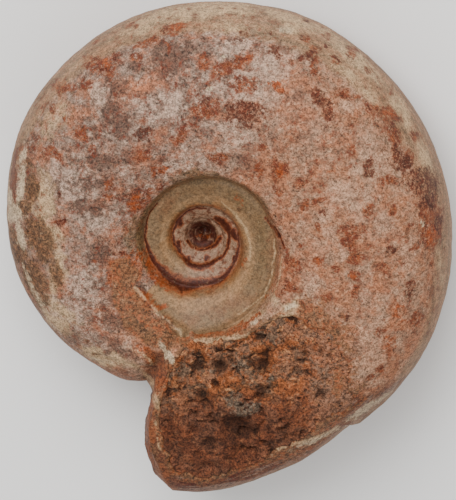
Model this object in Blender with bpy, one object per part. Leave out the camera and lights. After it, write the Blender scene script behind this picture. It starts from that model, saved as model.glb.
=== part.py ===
"""Smooth, thick-whorled ammonite fossil, lying on its flank as it rests by itself.

It is one stone: the coiled shell and the sandstone cemented in its living chamber are a single
solid. Its surface is one closed sheet with two directions. Columns go round the coil, from the
broken mouth back by nearly one turn. Rows go across it: from the middle of the upper umbilicus
over the stepped inner whorls, the umbilical wall, the flank and the outer edge, and back to the
middle of the lower umbilicus. The last few columns climb the broken mouth, from the whorl
before it up to the last whorl, and close the turn.

A bearing is an angle in degrees, counterclockwise from +X. It grows backwards along the coil,
so one full turn more is the same direction on the next whorl in. Lengths are millimetres until
the mesh is made.
"""
import math

import bmesh
import bpy
import numpy as np

MM = 0.001

# --- coil -----------------------------------------------------------------------------------
MOUTH_BEARING = 256.0            # broken edge of the last whorl, on the flank
MOUTH_SWEEP = 8.0                # how much later the broken edge reaches the outer edge
MOUTH_SWEEP_RADII = (37.0, 56.0) # the sweep grows between these
MOUTH_SWEEP_FADE = 36.0          # and dies away over this many degrees behind the mouth
MOUTH_SETBACK = 4.0              # degrees that the broken face steps back from its foot
SETBACK_RISE = 0.08              # share of the face's rise in which it does so
MOUTH_CURVE = 3.5                # more keeps the face back for longer as it rises
FOOT_BEARING = 250.0 + 360.0     # where the mouth rises from the whorl before it
SEAM_RADIUS = 18.7               # spiral line where the last whorl meets the one inside it
SEAM_BEARING = 270.0
SEAM_GROWTH = 1.88               # per full turn
SEAM_SWELL = 0.15                # the last turn of the seam runs this much wider here
SWELL_BEARING = 420.0
SWELL_SPREAD = 42.0
APEX_HEIGHT = 2.4                # first chamber above the middle plane
CONE_RISE = 1.41                 # the seam climbs this much times its radius to the power
CONE_POWER = 0.8
WALL_HEIGHT = 0.18               # umbilical wall, as shares of the seam radius
WALL_WIDTH = 0.16
SEAM_GROOVE = 0.035
SEAM_GROOVE_WIDTH = 0.05
INNER_TURNS = 4                  # whorls that can be told apart inside the last one

# Outer edge radius at bearings along the last whorl, mouth first.
EDGE_BEARINGS = (256.0, 270.0, 285.0, 300.0, 330.0, 360.0, 400.0, 450.0, 480.0,
                 500.0, 520.0, 540.0, 570.0, 590.0, 604.0, 612.0)
EDGE_RADII = (58.0, 57.8, 55.2, 53.5, 52.8, 51.8, 50.4, 48.1, 46.6,
              44.6, 43.2, 42.3, 39.8, 38.0, 37.0, 34.4)

# Half thickness of the last whorl and the radius where it is thickest, at mouth and foot.
MOUTH_HALF_THICKNESS = 23.2
MOUTH_CREST_RADIUS = 35.0
COVER = 0.72                     # share of a flank's rise that the next whorl leaves bare
FLANK_POWER = 2.25               # 2 is an ellipse; more gives squarer shoulders
TURN_OVER = 0.5                  # share of the flank rows that lie inside the thickest line
CREST_EASE = 1.5                 # draws those rows together on the umbilical wall

# --- grid -----------------------------------------------------------------------------------
UMBILICUS_ROWS = 20
FLANK_ROWS = 18
UNDER_FLANK_ROWS = 14
UNDER_UMBILICUS_ROWS = 10
FINE_COLUMNS = 24                # over the rough sandstone next to the mouth
FINE_END = 322.0
COARSE_COLUMNS = 46
MOUTH_COLUMNS = 7
HANDOVER = 64.0                  # degrees over which rows leave the seam before the mouth


def smooth_step(start, end, value):
    """Goes from 0 to 1 between start and end with level ends."""
    share = np.clip((value - start) / (end - start), 0.0, 1.0)
    return share * share * (3.0 - 2.0 * share)


def seam_radius(bearing):
    """Logarithmic spiral of the seam, wider on one side of its last turn."""
    swell = 1.0 + SEAM_SWELL * np.exp(-((bearing - SWELL_BEARING) / SWELL_SPREAD) ** 2)
    return SEAM_RADIUS * SEAM_GROWTH ** ((SEAM_BEARING - bearing) / 360.0) * swell


def seam_height(bearing):
    """The seam climbs a slightly hollow cone from the first chamber."""
    return APEX_HEIGHT + CONE_RISE * seam_radius(bearing) ** CONE_POWER


def edge_radius(bearing):
    """Outer edge radius, a smooth curve through the named radii."""
    knots = np.array(EDGE_BEARINGS)
    radii = np.array(EDGE_RADII)
    slopes = np.gradient(radii, knots)
    span = np.clip(np.searchsorted(knots, bearing, side="right") - 1, 0, len(knots) - 2)
    width = knots[span + 1] - knots[span]
    share = np.clip((bearing - knots[span]) / width, 0.0, 1.0)
    start = (1.0 + 2.0 * share) * (1.0 - share) ** 2
    lean_in = share * (1.0 - share) ** 2
    end = share ** 2 * (3.0 - 2.0 * share)
    lean_out = share ** 2 * (share - 1.0)
    return (start * radii[span] + lean_in * width * slopes[span]
            + end * radii[span + 1] + lean_out * width * slopes[span + 1])


def exposed_crest(bearing):
    """Radius and height of the hidden crest of the whorl whose own seam is at the bearing."""
    inner, outer = seam_radius(bearing), seam_radius(bearing - 360.0)
    wall = WALL_HEIGHT * inner
    rise = (seam_height(bearing - 360.0) - seam_height(bearing) - wall) / math.sin(math.pi / 2.0 * COVER)
    return inner + (outer - inner) / COVER, seam_height(bearing) + wall + rise


def whorl_height(radius, inner, inner_height, crest, crest_height):
    """Umbilical wall, a quarter sine wave, on top of the flank's own slow quarter wave."""
    wall = WALL_HEIGHT * inner
    up_wall = np.clip((radius - inner) / (WALL_WIDTH * inner), 0.0, 1.0)
    up_flank = np.clip((radius - inner) / (crest - inner), 0.0, 1.0)
    return (inner_height + wall * np.sin(math.pi / 2.0 * up_wall)
            + (crest_height - inner_height - wall) * np.sin(math.pi / 2.0 * up_flank))


def crest_of(bearing):
    """Radius and height of the thickest line of the last whorl.

    Both change by a constant factor per degree, from the mouth to the foot, where the whorl
    has to pass under the mouth's own seam.
    """
    foot_radius, foot_height = exposed_crest(FOOT_BEARING)
    share = (bearing - MOUTH_BEARING) / (FOOT_BEARING - MOUTH_BEARING)
    radius = MOUTH_CREST_RADIUS * (foot_radius / MOUTH_CREST_RADIUS) ** share
    height = MOUTH_HALF_THICKNESS * (foot_height / MOUTH_HALF_THICKNESS) ** share
    return radius, height


def upper_height(radius, bearing):
    """Height of the upper side inside the crest, over all the whorls that show."""
    crest, crest_height = crest_of(bearing)
    height = whorl_height(radius, seam_radius(bearing), seam_height(bearing), crest, crest_height)
    groove = np.zeros_like(height)
    for turn in range(1, INNER_TURNS + 1):
        own = bearing + 360.0 * turn
        outer = seam_radius(own - 360.0)
        band = whorl_height(radius, seam_radius(own), seam_height(own), *exposed_crest(own))
        height = np.where(radius < outer, band, height)
        groove += SEAM_GROOVE * outer * np.exp(-((radius - outer) / (SEAM_GROOVE_WIDTH * outer)) ** 2)
    innermost = seam_radius(bearing + 360.0 * INNER_TURNS)
    bowl = APEX_HEIGHT + CONE_RISE * innermost ** CONE_POWER * (radius / innermost) ** 2
    return np.where(radius < innermost, bowl, height) - groove


def flank_point(bearing, share):
    """Radius and height at a share of the way from the seam (0) to the outer edge (1)."""
    crest, crest_height = crest_of(bearing)
    inner = seam_radius(bearing)
    inward = np.clip(share / TURN_OVER, 0.0, 1.0) ** CREST_EASE
    near = inner + (crest - inner) * inward
    angle = math.pi / 2.0 * np.clip((share - TURN_OVER) / (1.0 - TURN_OVER), 0.0, 1.0)
    far = crest + (edge_radius(bearing) - crest) * np.sin(angle) ** (2.0 / FLANK_POWER)
    far_height = crest_height * np.clip(np.cos(angle), 0.0, 1.0) ** (2.0 / FLANK_POWER)
    outside = share > TURN_OVER
    return (np.where(outside, far, near),
            np.where(outside, far_height, upper_height(near, bearing)))


def section(bearings, umbilicus_rows):
    """Radius and height of the half section at each bearing, by column and row.

    Rows run from the middle to the seam, then from the seam to the outer edge. Near the foot
    the row that follows the seam climbs the flank, so that it meets the seam of the mouth and
    the turn closes with every row at its own radius.
    """
    foot_share = TURN_OVER * COVER ** (1.0 / CREST_EASE)
    leave = foot_share * smooth_step(FOOT_BEARING - HANDOVER, FOOT_BEARING, bearings)
    seam_row, _ = flank_point(bearings, leave)
    rows = np.arange(1, bearings.shape[1] + 1)
    inside_radius = seam_row * np.minimum(rows / umbilicus_rows, 1.0)
    across = np.clip((rows - umbilicus_rows) / (len(rows) - umbilicus_rows), 0.0, 1.0)
    outside_radius, outside_height = flank_point(bearings, leave + (1.0 - leave) * across)
    inside = rows <= umbilicus_rows
    return (np.where(inside, inside_radius, outside_radius),
            np.where(inside, upper_height(inside_radius, bearings), outside_height))


# --- relief ---------------------------------------------------------------------------------
# Places on the upper side are given in plan: millimetres to the right of and above the first
# chamber, for an eye that leans from the coil's axis by SIGHT.
SIGHT = (0.110, 0.330, 0.938)
IN_SIGHT = 0.35                  # surfaces that face the eye less than this lose their relief

# Rim of the bare sandstone that fills the living chamber, counterclockwise from the mouth's
# outer corner.
SANDSTONE_RIM = (
    (-5.9, -50.8), (-1.1, -52.7), (11.6, -48.9), (22.0, -42.6), (30.5, -35.9), (29.4, -27.5),
    (24.2, -21.2), (17.9, -18.1), (11.6, -20.2), (4.8, -22.9), (-2.9, -23.3), (-6.3, -27.5),
    (-7.8, -32.8), (-9.5, -35.9), (-9.9, -41.0), (-7.8, -47.0),
)
SANDSTONE_SINK = 1.5             # below the shell that is gone
SANDSTONE_EDGE = 2.0             # width of the step down to it
SANDSTONE_LUMPS = ((5.5, 1.3), (2.8, 0.7))   # size and height of its lumps
SANDSTONE_CALM = 0.6             # share of its relief that is lost
SANDSTONE_CALMING = (10.0, 30.0) # as it runs to the right between these

# Pits and bumps: plan place, radius, height (a pit is negative).
KNOBS = (
    (2.9, -28.8, 1.6, -1.8),     # pit under the umbilical wall
    (11.6, -28.4, 1.7, -1.8),
    (7.0, -29.6, 1.8, 1.0),      # crystal lump between them
    (-0.6, -34.9, 1.3, -1.4),
    (11.6, -34.0, 1.3, -1.5),
    (5.2, -41.0, 3.0, -2.2),     # hollow in the middle
    (8.6, -43.4, 1.7, -1.6),
    (1.0, -45.2, 1.5, -1.2),
    (-5.5, -44.0, 3.2, 1.2),     # shoulder by the mouth
    (17.0, -38.0, 4.0, 0.9),
    (-5.9, -22.2, 2.0, 0.9),     # olive bump where the wall ends
    (-12.5, -15.0, 4.5, 0.5),    # rusty crust beside the broken ridge
)

# Low ridge that the wall of the lost shell has left on the whorl before it.
RIDGE = ((-14.3, -12.6), (-11.3, -16.2), (-7.4, -19.7), (-2.7, -22.5))
RIDGE_WIDTH = 0.9
RIDGE_HEIGHT = 0.9

# Tongue of shell that ends in a thin edge, and the smooth saddle below and right of it.
TONGUE = ((-24.0, -21.0), (-22.5, -25.8), (-16.0, -27.7), (-11.1, -28.8), (-11.1, -27.7),
          (-12.4, -26.2), (-16.6, -23.3))
TONGUE_HEIGHT = 0.7
TONGUE_EDGE = 0.6                # half the width of the step at its rim
SADDLE = (-9.3, -29.5, 3.6, -1.3)

# Flat chip out of the outer edge: the way it faces, and how deep it cuts.
CHIP_BEARING = 314.0
CHIP_SLOPE = 30.0
CHIP_DEPTH = 0.6

# Flaked patches of the outer shell layer near the left of the coil: plan place and radii.
FLAKES = ((-34.0, 2.0, 3.2, 9.0), (-37.0, 9.5, 2.4, 4.6))
FLAKE_DEPTH = 0.45
FLAKE_RIM = (0.8, 1.1)           # the step lies between these shares of the radii

# Where the outer layer of the shell ends on the outer edge, beside the chip.
EDGE_STEP_BEARING = 309.5
EDGE_STEP_WIDTH = 1.5
EDGE_STEP_FADE = 18.0
EDGE_STEP_DEPTH = 0.9
EDGE_STEP_RADII = (46.0, 50.0)   # it shows only outside these

# Flaked patches on the hidden side: bearing, radius from the coil's axis, size across.
UNDER_FLAKES = ((40.0, 38.0, 7.0), (118.0, 33.0, 9.0), (205.0, 30.0, 6.0), (300.0, 41.0, 10.0),
                (335.0, 27.0, 5.0))
UNDER_FLAKE_DEPTH = 0.5
UNDER_FLAKE_RIM = (0.7, 1.0)
UNDER_FLAKE_RAGGED = (4.0, 0.25) # size and share of the unevenness of their rims
UNDERSIDE_DEPTHS = (4.0, 9.0)    # the hidden side begins between these below the middle plane

UNDULATION = ((22.0, 0.45), (9.0, 0.22))     # slow unevenness of the whole stone
MOUTH_LUMPS = ((7.0, 0.8), (3.5, 0.5))
UNDULATION_SEED = 3
SANDSTONE_SEED = 11
MOUTH_SEED = 21
RAGGED_SEED = 31
NOISE_CELLS = 24                 # the noise repeats after this many cells


def lattice_noise(points, size, seed):
    """Smooth noise between -1 and 1: random values on a cubic lattice, blended between."""
    values = np.random.RandomState(seed).uniform(-1.0, 1.0, (NOISE_CELLS,) * 3)
    place = points / size + 100.0
    low = np.floor(place).astype(int)
    share = place - low
    share = share * share * (3.0 - 2.0 * share)
    total = np.zeros(points.shape[:-1])
    for corner in range(8):
        step = np.array([corner & 1, corner >> 1 & 1, corner >> 2 & 1])
        weight = np.prod(np.where(step == 1, share, 1.0 - share), axis=-1)
        index = (low + step) % NOISE_CELLS
        total += weight * values[index[..., 0], index[..., 1], index[..., 2]]
    return total


def layered_noise(points, layers, seed):
    """Sum of noise layers, each given by its size and its height."""
    return sum(height * lattice_noise(points, size, seed + number)
               for number, (size, height) in enumerate(layers))


def plan_of(points):
    """Plan coordinates of points: their distances along the sight plane's two axes."""
    sight = np.array(SIGHT) / np.linalg.norm(SIGHT)
    right = np.cross((0.0, 1.0, 0.0), sight)
    right /= np.linalg.norm(right)
    above = np.cross(sight, right)
    from_apex = points - np.array([0.0, 0.0, APEX_HEIGHT])
    return from_apex @ right, from_apex @ above


def distance_inside(across, along, outline):
    """Distance to a closed outline, positive inside it."""
    nearest = np.full(across.shape, np.inf)
    inside = np.zeros(across.shape, dtype=bool)
    for start, end in zip(outline, outline[1:] + outline[:1]):
        nearest = np.minimum(nearest, distance_to_line(across, along, start, end))
        crosses = (start[1] > along) != (end[1] > along)
        rise = end[1] - start[1] if end[1] != start[1] else 1.0
        at = start[0] + (along - start[1]) * (end[0] - start[0]) / rise
        inside ^= crosses & (across < at)
    return np.where(inside, nearest, -nearest)


def distance_to_line(across, along, start, end):
    """Distance to a straight piece of line."""
    step = (end[0] - start[0], end[1] - start[1])
    length = step[0] ** 2 + step[1] ** 2
    share = np.clip(((across - start[0]) * step[0] + (along - start[1]) * step[1]) / length, 0.0, 1.0)
    return np.hypot(across - start[0] - share * step[0], along - start[1] - share * step[1])


def relief(points, facing_up, on_mouth):
    """Height of the weathered surface above the ideal one."""
    across, along = plan_of(points)
    height = layered_noise(points, UNDULATION, UNDULATION_SEED)
    sandstone = smooth_step(0.0, SANDSTONE_EDGE, distance_inside(across, along, SANDSTONE_RIM))
    fade = 1.0 - SANDSTONE_CALM * smooth_step(*SANDSTONE_CALMING, across)
    height += facing_up * sandstone * fade * (
        layered_noise(points, SANDSTONE_LUMPS, SANDSTONE_SEED) - SANDSTONE_SINK)
    for place_across, place_along, radius, lift in KNOBS + (SADDLE,):
        away = np.hypot(across - place_across, along - place_along) / radius
        height += facing_up * lift * np.exp(-away ** 2)
    ridge = np.min([distance_to_line(across, along, start, end)
                    for start, end in zip(RIDGE, RIDGE[1:])], axis=0)
    height += facing_up * RIDGE_HEIGHT * np.exp(-(ridge / RIDGE_WIDTH) ** 2)
    tongue = distance_inside(across, along, TONGUE)
    height += facing_up * TONGUE_HEIGHT * smooth_step(-TONGUE_EDGE, TONGUE_EDGE, tongue)
    for place_across, place_along, half_width, half_height in FLAKES:
        away = np.hypot((across - place_across) / half_width, (along - place_along) / half_height)
        height -= facing_up * FLAKE_DEPTH * (1.0 - smooth_step(*FLAKE_RIM, away))
    bearing = np.degrees(np.arctan2(points[..., 1], points[..., 0])) % 360.0
    radius = np.hypot(points[..., 0], points[..., 1])
    before_step = EDGE_STEP_BEARING - bearing
    stepped = (smooth_step(0.0, EDGE_STEP_WIDTH, before_step)
               * (1.0 - smooth_step(EDGE_STEP_WIDTH, EDGE_STEP_FADE, before_step)))
    height -= EDGE_STEP_DEPTH * stepped * smooth_step(*EDGE_STEP_RADII, radius)
    underside = smooth_step(*UNDERSIDE_DEPTHS, -points[..., 2])
    ragged_size, ragged_share = UNDER_FLAKE_RAGGED
    ragged = ragged_share * lattice_noise(points, ragged_size, RAGGED_SEED)
    for place_bearing, place_radius, size in UNDER_FLAKES:
        turn = np.radians(place_bearing)
        away = np.hypot(points[..., 0] - place_radius * math.cos(turn),
                        points[..., 1] - place_radius * math.sin(turn)) / size
        away += ragged
        height -= underside * UNDER_FLAKE_DEPTH * (1.0 - smooth_step(*UNDER_FLAKE_RIM, away))
    height += on_mouth * layered_noise(points, MOUTH_LUMPS, MOUTH_SEED)
    return height


# --- lying down -----------------------------------------------------------------------------
LEAN_AXIS = (-0.955, -0.297, 0.0)   # horizontal line that the coil's axis leans about
LEAN = 3.32                      # degrees
WORN_FLAT = 0.35                 # what the lowest points of the underside have lost to wear


def half_sheet(bearings, umbilicus_rows, flank_rows):
    """Upper half of the ideal surface, with the columns of the broken mouth at the end."""
    rows = umbilicus_rows + flank_rows
    mouth_radius, _ = section(np.full((1, rows), MOUTH_BEARING), umbilicus_rows)
    late = MOUTH_SWEEP * smooth_step(*MOUTH_SWEEP_RADII, mouth_radius)
    late = late * (1.0 - smooth_step(MOUTH_BEARING, MOUTH_BEARING + MOUTH_SWEEP_FADE, bearings[:, None]))
    angles = bearings[:, None] + late
    radii, heights = section(angles, umbilicus_rows)
    rise = np.linspace(0.0, 1.0, MOUTH_COLUMNS + 2)[1:-1, None]
    foot, lip = angles[-1] - 360.0, angles[0]
    setback = MOUTH_SETBACK * (1.0 - np.exp(-rise / SETBACK_RISE))
    face = foot + np.where(np.arange(rows) < umbilicus_rows, (lip - foot) * rise,
                           setback + (lip - foot - MOUTH_SETBACK) * rise ** MOUTH_CURVE)
    radii = np.concatenate([radii, radii[-1] + (radii[0] - radii[-1]) * rise])
    heights = np.concatenate([heights, heights[-1] + (heights[0] - heights[-1]) * rise])
    turn = np.radians(np.concatenate([angles, face]))
    return np.stack([radii * np.cos(turn), radii * np.sin(turn), heights], axis=-1)


def ideal_grid():
    """Points of the ideal surface by column and row, from the upper pole to the lower one."""
    fine = np.linspace(MOUTH_BEARING, FINE_END, FINE_COLUMNS + 1)[:-1]
    coarse = np.linspace(FINE_END, FOOT_BEARING, COARSE_COLUMNS + 1)
    bearings = np.concatenate([fine, coarse])
    upper = half_sheet(bearings, UMBILICUS_ROWS, FLANK_ROWS)
    under = half_sheet(bearings, UNDER_UMBILICUS_ROWS, UNDER_FLANK_ROWS)
    under[..., 2] *= -1.0
    points = np.concatenate([upper, under[:, -2::-1]], axis=1)
    poles = np.zeros((len(points), 1, 3))
    poles[..., 2] = APEX_HEIGHT
    return np.concatenate([poles, points, -poles], axis=1)


def normals_of(points):
    """Outward unit normals of the grid, from its neighbours along rows and columns."""
    around = np.roll(points, -1, axis=0) - np.roll(points, 1, axis=0)
    across = np.gradient(points, axis=1)
    normals = np.cross(across, around)
    normals[:, 0] = (0.0, 0.0, 1.0)
    normals[:, -1] = (0.0, 0.0, -1.0)
    return normals / np.maximum(np.linalg.norm(normals, axis=-1, keepdims=True), 1e-9)


def weathered(points):
    """Moves the ideal surface out or in along its normals by the relief."""
    normals = normals_of(points)
    facing = smooth_step(0.0, IN_SIGHT, normals @ (np.array(SIGHT) / np.linalg.norm(SIGHT)))
    on_mouth = np.zeros(points.shape[:2])
    on_mouth[-MOUTH_COLUMNS:, 1 + UMBILICUS_ROWS:-1 - UNDER_UMBILICUS_ROWS] = 1.0
    points = points + normals * relief(points, facing, on_mouth)[..., None]
    points[:, 0] = points[:, 0].mean(axis=0)
    points[:, -1] = points[:, -1].mean(axis=0)
    return points


def chipped(points):
    """Cuts the flat chip off the outer edge."""
    bearing, slope = math.radians(CHIP_BEARING), math.radians(CHIP_SLOPE)
    outward = np.array([math.cos(bearing) * math.cos(slope), math.sin(bearing) * math.cos(slope),
                        math.sin(slope)])
    beyond = points @ outward
    limit = beyond.max() - CHIP_DEPTH
    return points - outward * np.maximum(beyond - limit, 0.0)[..., None]


def laid_down(points):
    """Turns the stone onto its resting side, centres it and wears its lowest points flat."""
    axis = np.array(LEAN_AXIS) / np.linalg.norm(LEAN_AXIS)
    angle = math.radians(LEAN)
    along = (points @ axis)[..., None] * axis
    points = (along + (points - along) * math.cos(angle) + np.cross(axis, points) * math.sin(angle))
    low, high = points.min(axis=(0, 1)), points.max(axis=(0, 1))
    points = points - [(low[0] + high[0]) / 2.0, (low[1] + high[1]) / 2.0, low[2] + WORN_FLAT]
    points[..., 2] = np.maximum(points[..., 2], 0.0)
    return points


def split_flattest(mesh, near, beside, across, behind):
    """Adds a cell as two triangles, split along the diagonal that folds it least."""
    corners = [near, beside, across, behind]
    bends = []
    for first in (0, 1):
        a, b, c, d = (corners[(first + step) % 4].co for step in range(4))
        bends.append((b - a).cross(c - a).normalized().dot((c - a).cross(d - a).normalized()))
    first = 0 if bends[0] >= bends[1] else 1
    a, b, c, d = (corners[(first + step) % 4] for step in range(4))
    mesh.faces.new((a, b, c))
    mesh.faces.new((a, c, d))


def closed_mesh(name, points):
    """One closed mesh from the grid: columns close on themselves and each pole is one point."""
    columns, rows = points.shape[:2]
    mesh = bmesh.new()
    top = mesh.verts.new(points[0, 0] * MM)
    bottom = mesh.verts.new(points[0, -1] * MM)
    rings = [[mesh.verts.new(place * MM) for place in column[1:-1]] for column in points]
    for column, following in zip(rings, rings[1:] + rings[:1]):
        mesh.faces.new((top, column[0], following[0]))
        mesh.faces.new((bottom, following[-1], column[-1]))
        for row in range(rows - 3):
            split_flattest(mesh, column[row], column[row + 1], following[row + 1], following[row])
    bmesh.ops.recalc_face_normals(mesh, faces=mesh.faces[:])
    data = bpy.data.meshes.new(name)
    mesh.to_mesh(data)
    mesh.free()
    return data


STONE_COLOUR = (0.36, 0.20, 0.13, 1.0)
STONE_ROUGHNESS = 0.75
SHARP_ANGLE = 50.0               # degrees; steps and chip edges stay crisp


def stone_material():
    """Rust and grey limestone, dull."""
    material = bpy.data.materials.new("weathered_stone")
    material.use_nodes = True
    shader = material.node_tree.nodes["Principled BSDF"]
    shader.inputs["Base Color"].default_value = STONE_COLOUR
    shader.inputs["Roughness"].default_value = STONE_ROUGHNESS
    shader.inputs["Metallic"].default_value = 0.0
    return material


def build_ammonite():
    """The whole fossil as one object."""
    points = laid_down(chipped(weathered(ideal_grid())))
    data = closed_mesh("ammonite", points)
    data.materials.append(stone_material())
    data.shade_smooth()
    data.set_sharp_from_angle(angle=math.radians(SHARP_ANGLE))
    fossil = bpy.data.objects.new("ammonite", data)
    bpy.context.scene.collection.objects.link(fossil)
    return fossil


for leftover in list(bpy.data.objects):
    bpy.data.objects.remove(leftover)
build_ammonite()
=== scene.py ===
"""Looks of a smooth, thick-whorled ammonite fossil that lies on its flank.

The stone is one closed sheet over a grid: columns go round the coil and rows go across it, from
the upper umbilicus over the flank and the outer edge to the lower umbilicus. The rough sandstone
that fills the broken living chamber is a second, denser sheet set into it. Places on the upper
side are given in plan: millimetres to the right of and above the first chamber, for an eye that
leans from the coil's axis. A bearing is an angle in degrees, counterclockwise from +X; it grows
backwards along the coil, so one full turn more is the same direction on the next whorl in.
"""
import logging
import math
from dataclasses import dataclass, field
from enum import Enum
from typing import NamedTuple

import bpy
import numpy as np
from mathutils import Matrix, Vector


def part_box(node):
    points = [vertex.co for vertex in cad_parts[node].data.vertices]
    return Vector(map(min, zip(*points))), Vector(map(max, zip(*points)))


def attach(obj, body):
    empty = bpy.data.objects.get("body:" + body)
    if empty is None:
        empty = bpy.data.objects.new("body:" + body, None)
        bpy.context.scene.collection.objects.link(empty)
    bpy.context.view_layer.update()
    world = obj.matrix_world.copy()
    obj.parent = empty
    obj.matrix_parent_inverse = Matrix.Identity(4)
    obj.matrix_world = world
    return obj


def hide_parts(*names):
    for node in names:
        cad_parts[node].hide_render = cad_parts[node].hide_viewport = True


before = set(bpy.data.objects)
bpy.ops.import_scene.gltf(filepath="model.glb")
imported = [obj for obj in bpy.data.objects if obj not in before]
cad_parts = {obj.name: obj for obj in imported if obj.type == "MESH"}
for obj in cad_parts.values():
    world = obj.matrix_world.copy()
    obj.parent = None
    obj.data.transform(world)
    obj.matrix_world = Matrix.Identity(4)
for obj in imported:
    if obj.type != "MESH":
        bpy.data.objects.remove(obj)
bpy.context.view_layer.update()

MM = 0.001
TURN = 360.0
QUARTER = math.pi / 2.0
TUMBLE = np.array([[0.36, 0.48, -0.8], [-0.8, 0.6, 0.0], [0.48, 0.64, 0.6]])
LOG = logging.getLogger("ammonite")
Array = np.ndarray
Plan = tuple[Array, Array]        # plan coordinates of many places: to the right and upwards
Place = tuple[float, float]
Places = tuple[Place, ...]
Colour = tuple[float, float, float]
Socket = bpy.types.NodeSocket
Tree = bpy.types.NodeTree


# --- numbers and noise ------------------------------------------------------------------------

def smooth_step(start: float, end: float, value: Array) -> Array:
    """Goes from 0 to 1 between start and end with level ends: 3s^2 - 2s^3 of the clipped share s."""
    share = np.clip((value - start) / (end - start), 0.0, 1.0)
    return share * share * (3.0 - 2.0 * share)


def bell(distance: Array, width: float) -> Array:
    """Bell curve: e to the minus square of the distance over the width."""
    return np.exp(-(distance / width) ** 2)


def polar(points: Array) -> tuple[Array, Array]:
    """Bearing, from 0 to 360 degrees, and radius of each place about the coil's axis."""
    across, along = points[..., 0], points[..., 1]
    return np.degrees(np.arctan2(along, across)) % TURN, np.hypot(across, along)


def lattice_noise(points: Array, size: float, seed: int) -> Array:
    """Smooth noise between -1 and 1: random values on a cubic lattice, blended between corners.

    Args:
        points: places, millimetres, last axis x, y, z.
        size: edge of one lattice cell, millimetres.
        seed: picks the random values.

    Returns:
        One value for each place.
    """
    cells = 24
    values = np.random.RandomState(seed).uniform(-1.0, 1.0, (cells, cells, cells))
    place = points / size + 100.0
    low = np.floor(place).astype(int)
    share = place - low
    share = share * share * (3.0 - 2.0 * share)
    total = np.zeros(points.shape[:-1])
    for corner in range(8):
        step = np.array([corner & 1, corner >> 1 & 1, corner >> 2 & 1])
        weight = np.prod(np.where(step == 1, share, 1.0 - share), axis=-1)
        index = (low + step) % cells
        total += weight * values[index[..., 0], index[..., 1], index[..., 2]]
    return total


def layered_noise(points: Array, layers: Places, seed: int) -> Array:
    """Sum of noise layers, each given by its size and its height, both in millimetres."""
    return sum(height * lattice_noise(points, size, seed + number)
               for number, (size, height) in enumerate(layers))


def cell_noise(points: Array, size: float, seed: int) -> tuple[Array, Array]:
    """Grains: distance to the nearest of one jittered point in each cubic cell, in cell sizes.

    Args:
        points: places, millimetres, last axis x, y, z.
        size: edge of one cell, millimetres.
        seed: picks the jitter.

    Returns:
        The distance, and one random value from 0 to 1 for the grain that is nearest.
    """
    cells = 32
    dice = np.random.RandomState(seed)
    jitter, value = dice.uniform(0.0, 1.0, (cells, cells, cells, 3)), dice.uniform(size=(cells,) * 3)
    place = (points + 100.0 * size) / size
    low = np.floor(place).astype(int)
    nearest = np.full(points.shape[:-1], 9.0)
    chosen = np.zeros(points.shape[:-1])
    for step in np.ndindex(3, 3, 3):
        cell = low + np.array(step) - 1
        index = cell % cells
        centre = cell + jitter[index[..., 0], index[..., 1], index[..., 2]]
        away = np.linalg.norm(place - centre, axis=-1)
        closer = away < nearest
        nearest = np.where(closer, away, nearest)
        chosen = np.where(closer, value[index[..., 0], index[..., 1], index[..., 2]], chosen)
    return nearest, chosen


def nearest_on_line(plan: Plan, start: Place, end: Place) -> tuple[Array, Array]:
    """Nearest place of a straight piece of line: the foot of the upright on it, kept to its ends.

    Args:
        plan: plan coordinates of each place.
        start: one end.
        end: the other end.

    Returns:
        The distance, and the nearest place's share of the way from start to end.
    """
    step = (end[0] - start[0], end[1] - start[1])
    right, up = plan[0] - start[0], plan[1] - start[1]
    share = np.clip((right * step[0] + up * step[1]) / (step[0] ** 2 + step[1] ** 2), 0.0, 1.0)
    return np.hypot(right - share * step[0], up - share * step[1]), share


def distance_to_path(plan: Plan, path: Places) -> Array:
    """Distance to an open path of straight pieces: the least of the distances to its pieces."""
    return np.min([nearest_on_line(plan, start, end)[0] for start, end in zip(path, path[1:])], axis=0)


def distance_inside(plan: Plan, outline: Places) -> Array:
    """Distance to a closed outline, positive inside it.

    A place is inside where a ray from it to the right crosses the outline an odd number of times.

    Args:
        plan: plan coordinates of each place.
        outline: corners of the outline.

    Returns:
        The signed distance in millimetres.
    """
    across, along = plan
    nearest = np.full(across.shape, np.inf)
    inside = np.zeros(across.shape, dtype=bool)
    for start, end in zip(outline, outline[1:] + outline[:1]):
        nearest = np.minimum(nearest, nearest_on_line(plan, start, end)[0])
        crosses = (start[1] > along) != (end[1] > along)
        rise = end[1] - start[1] if end[1] != start[1] else 1.0
        inside ^= crosses & (across < start[0] + (along - start[1]) * (end[0] - start[0]) / rise)
    return np.where(inside, nearest, -nearest)


# --- the coil ---------------------------------------------------------------------------------

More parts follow.
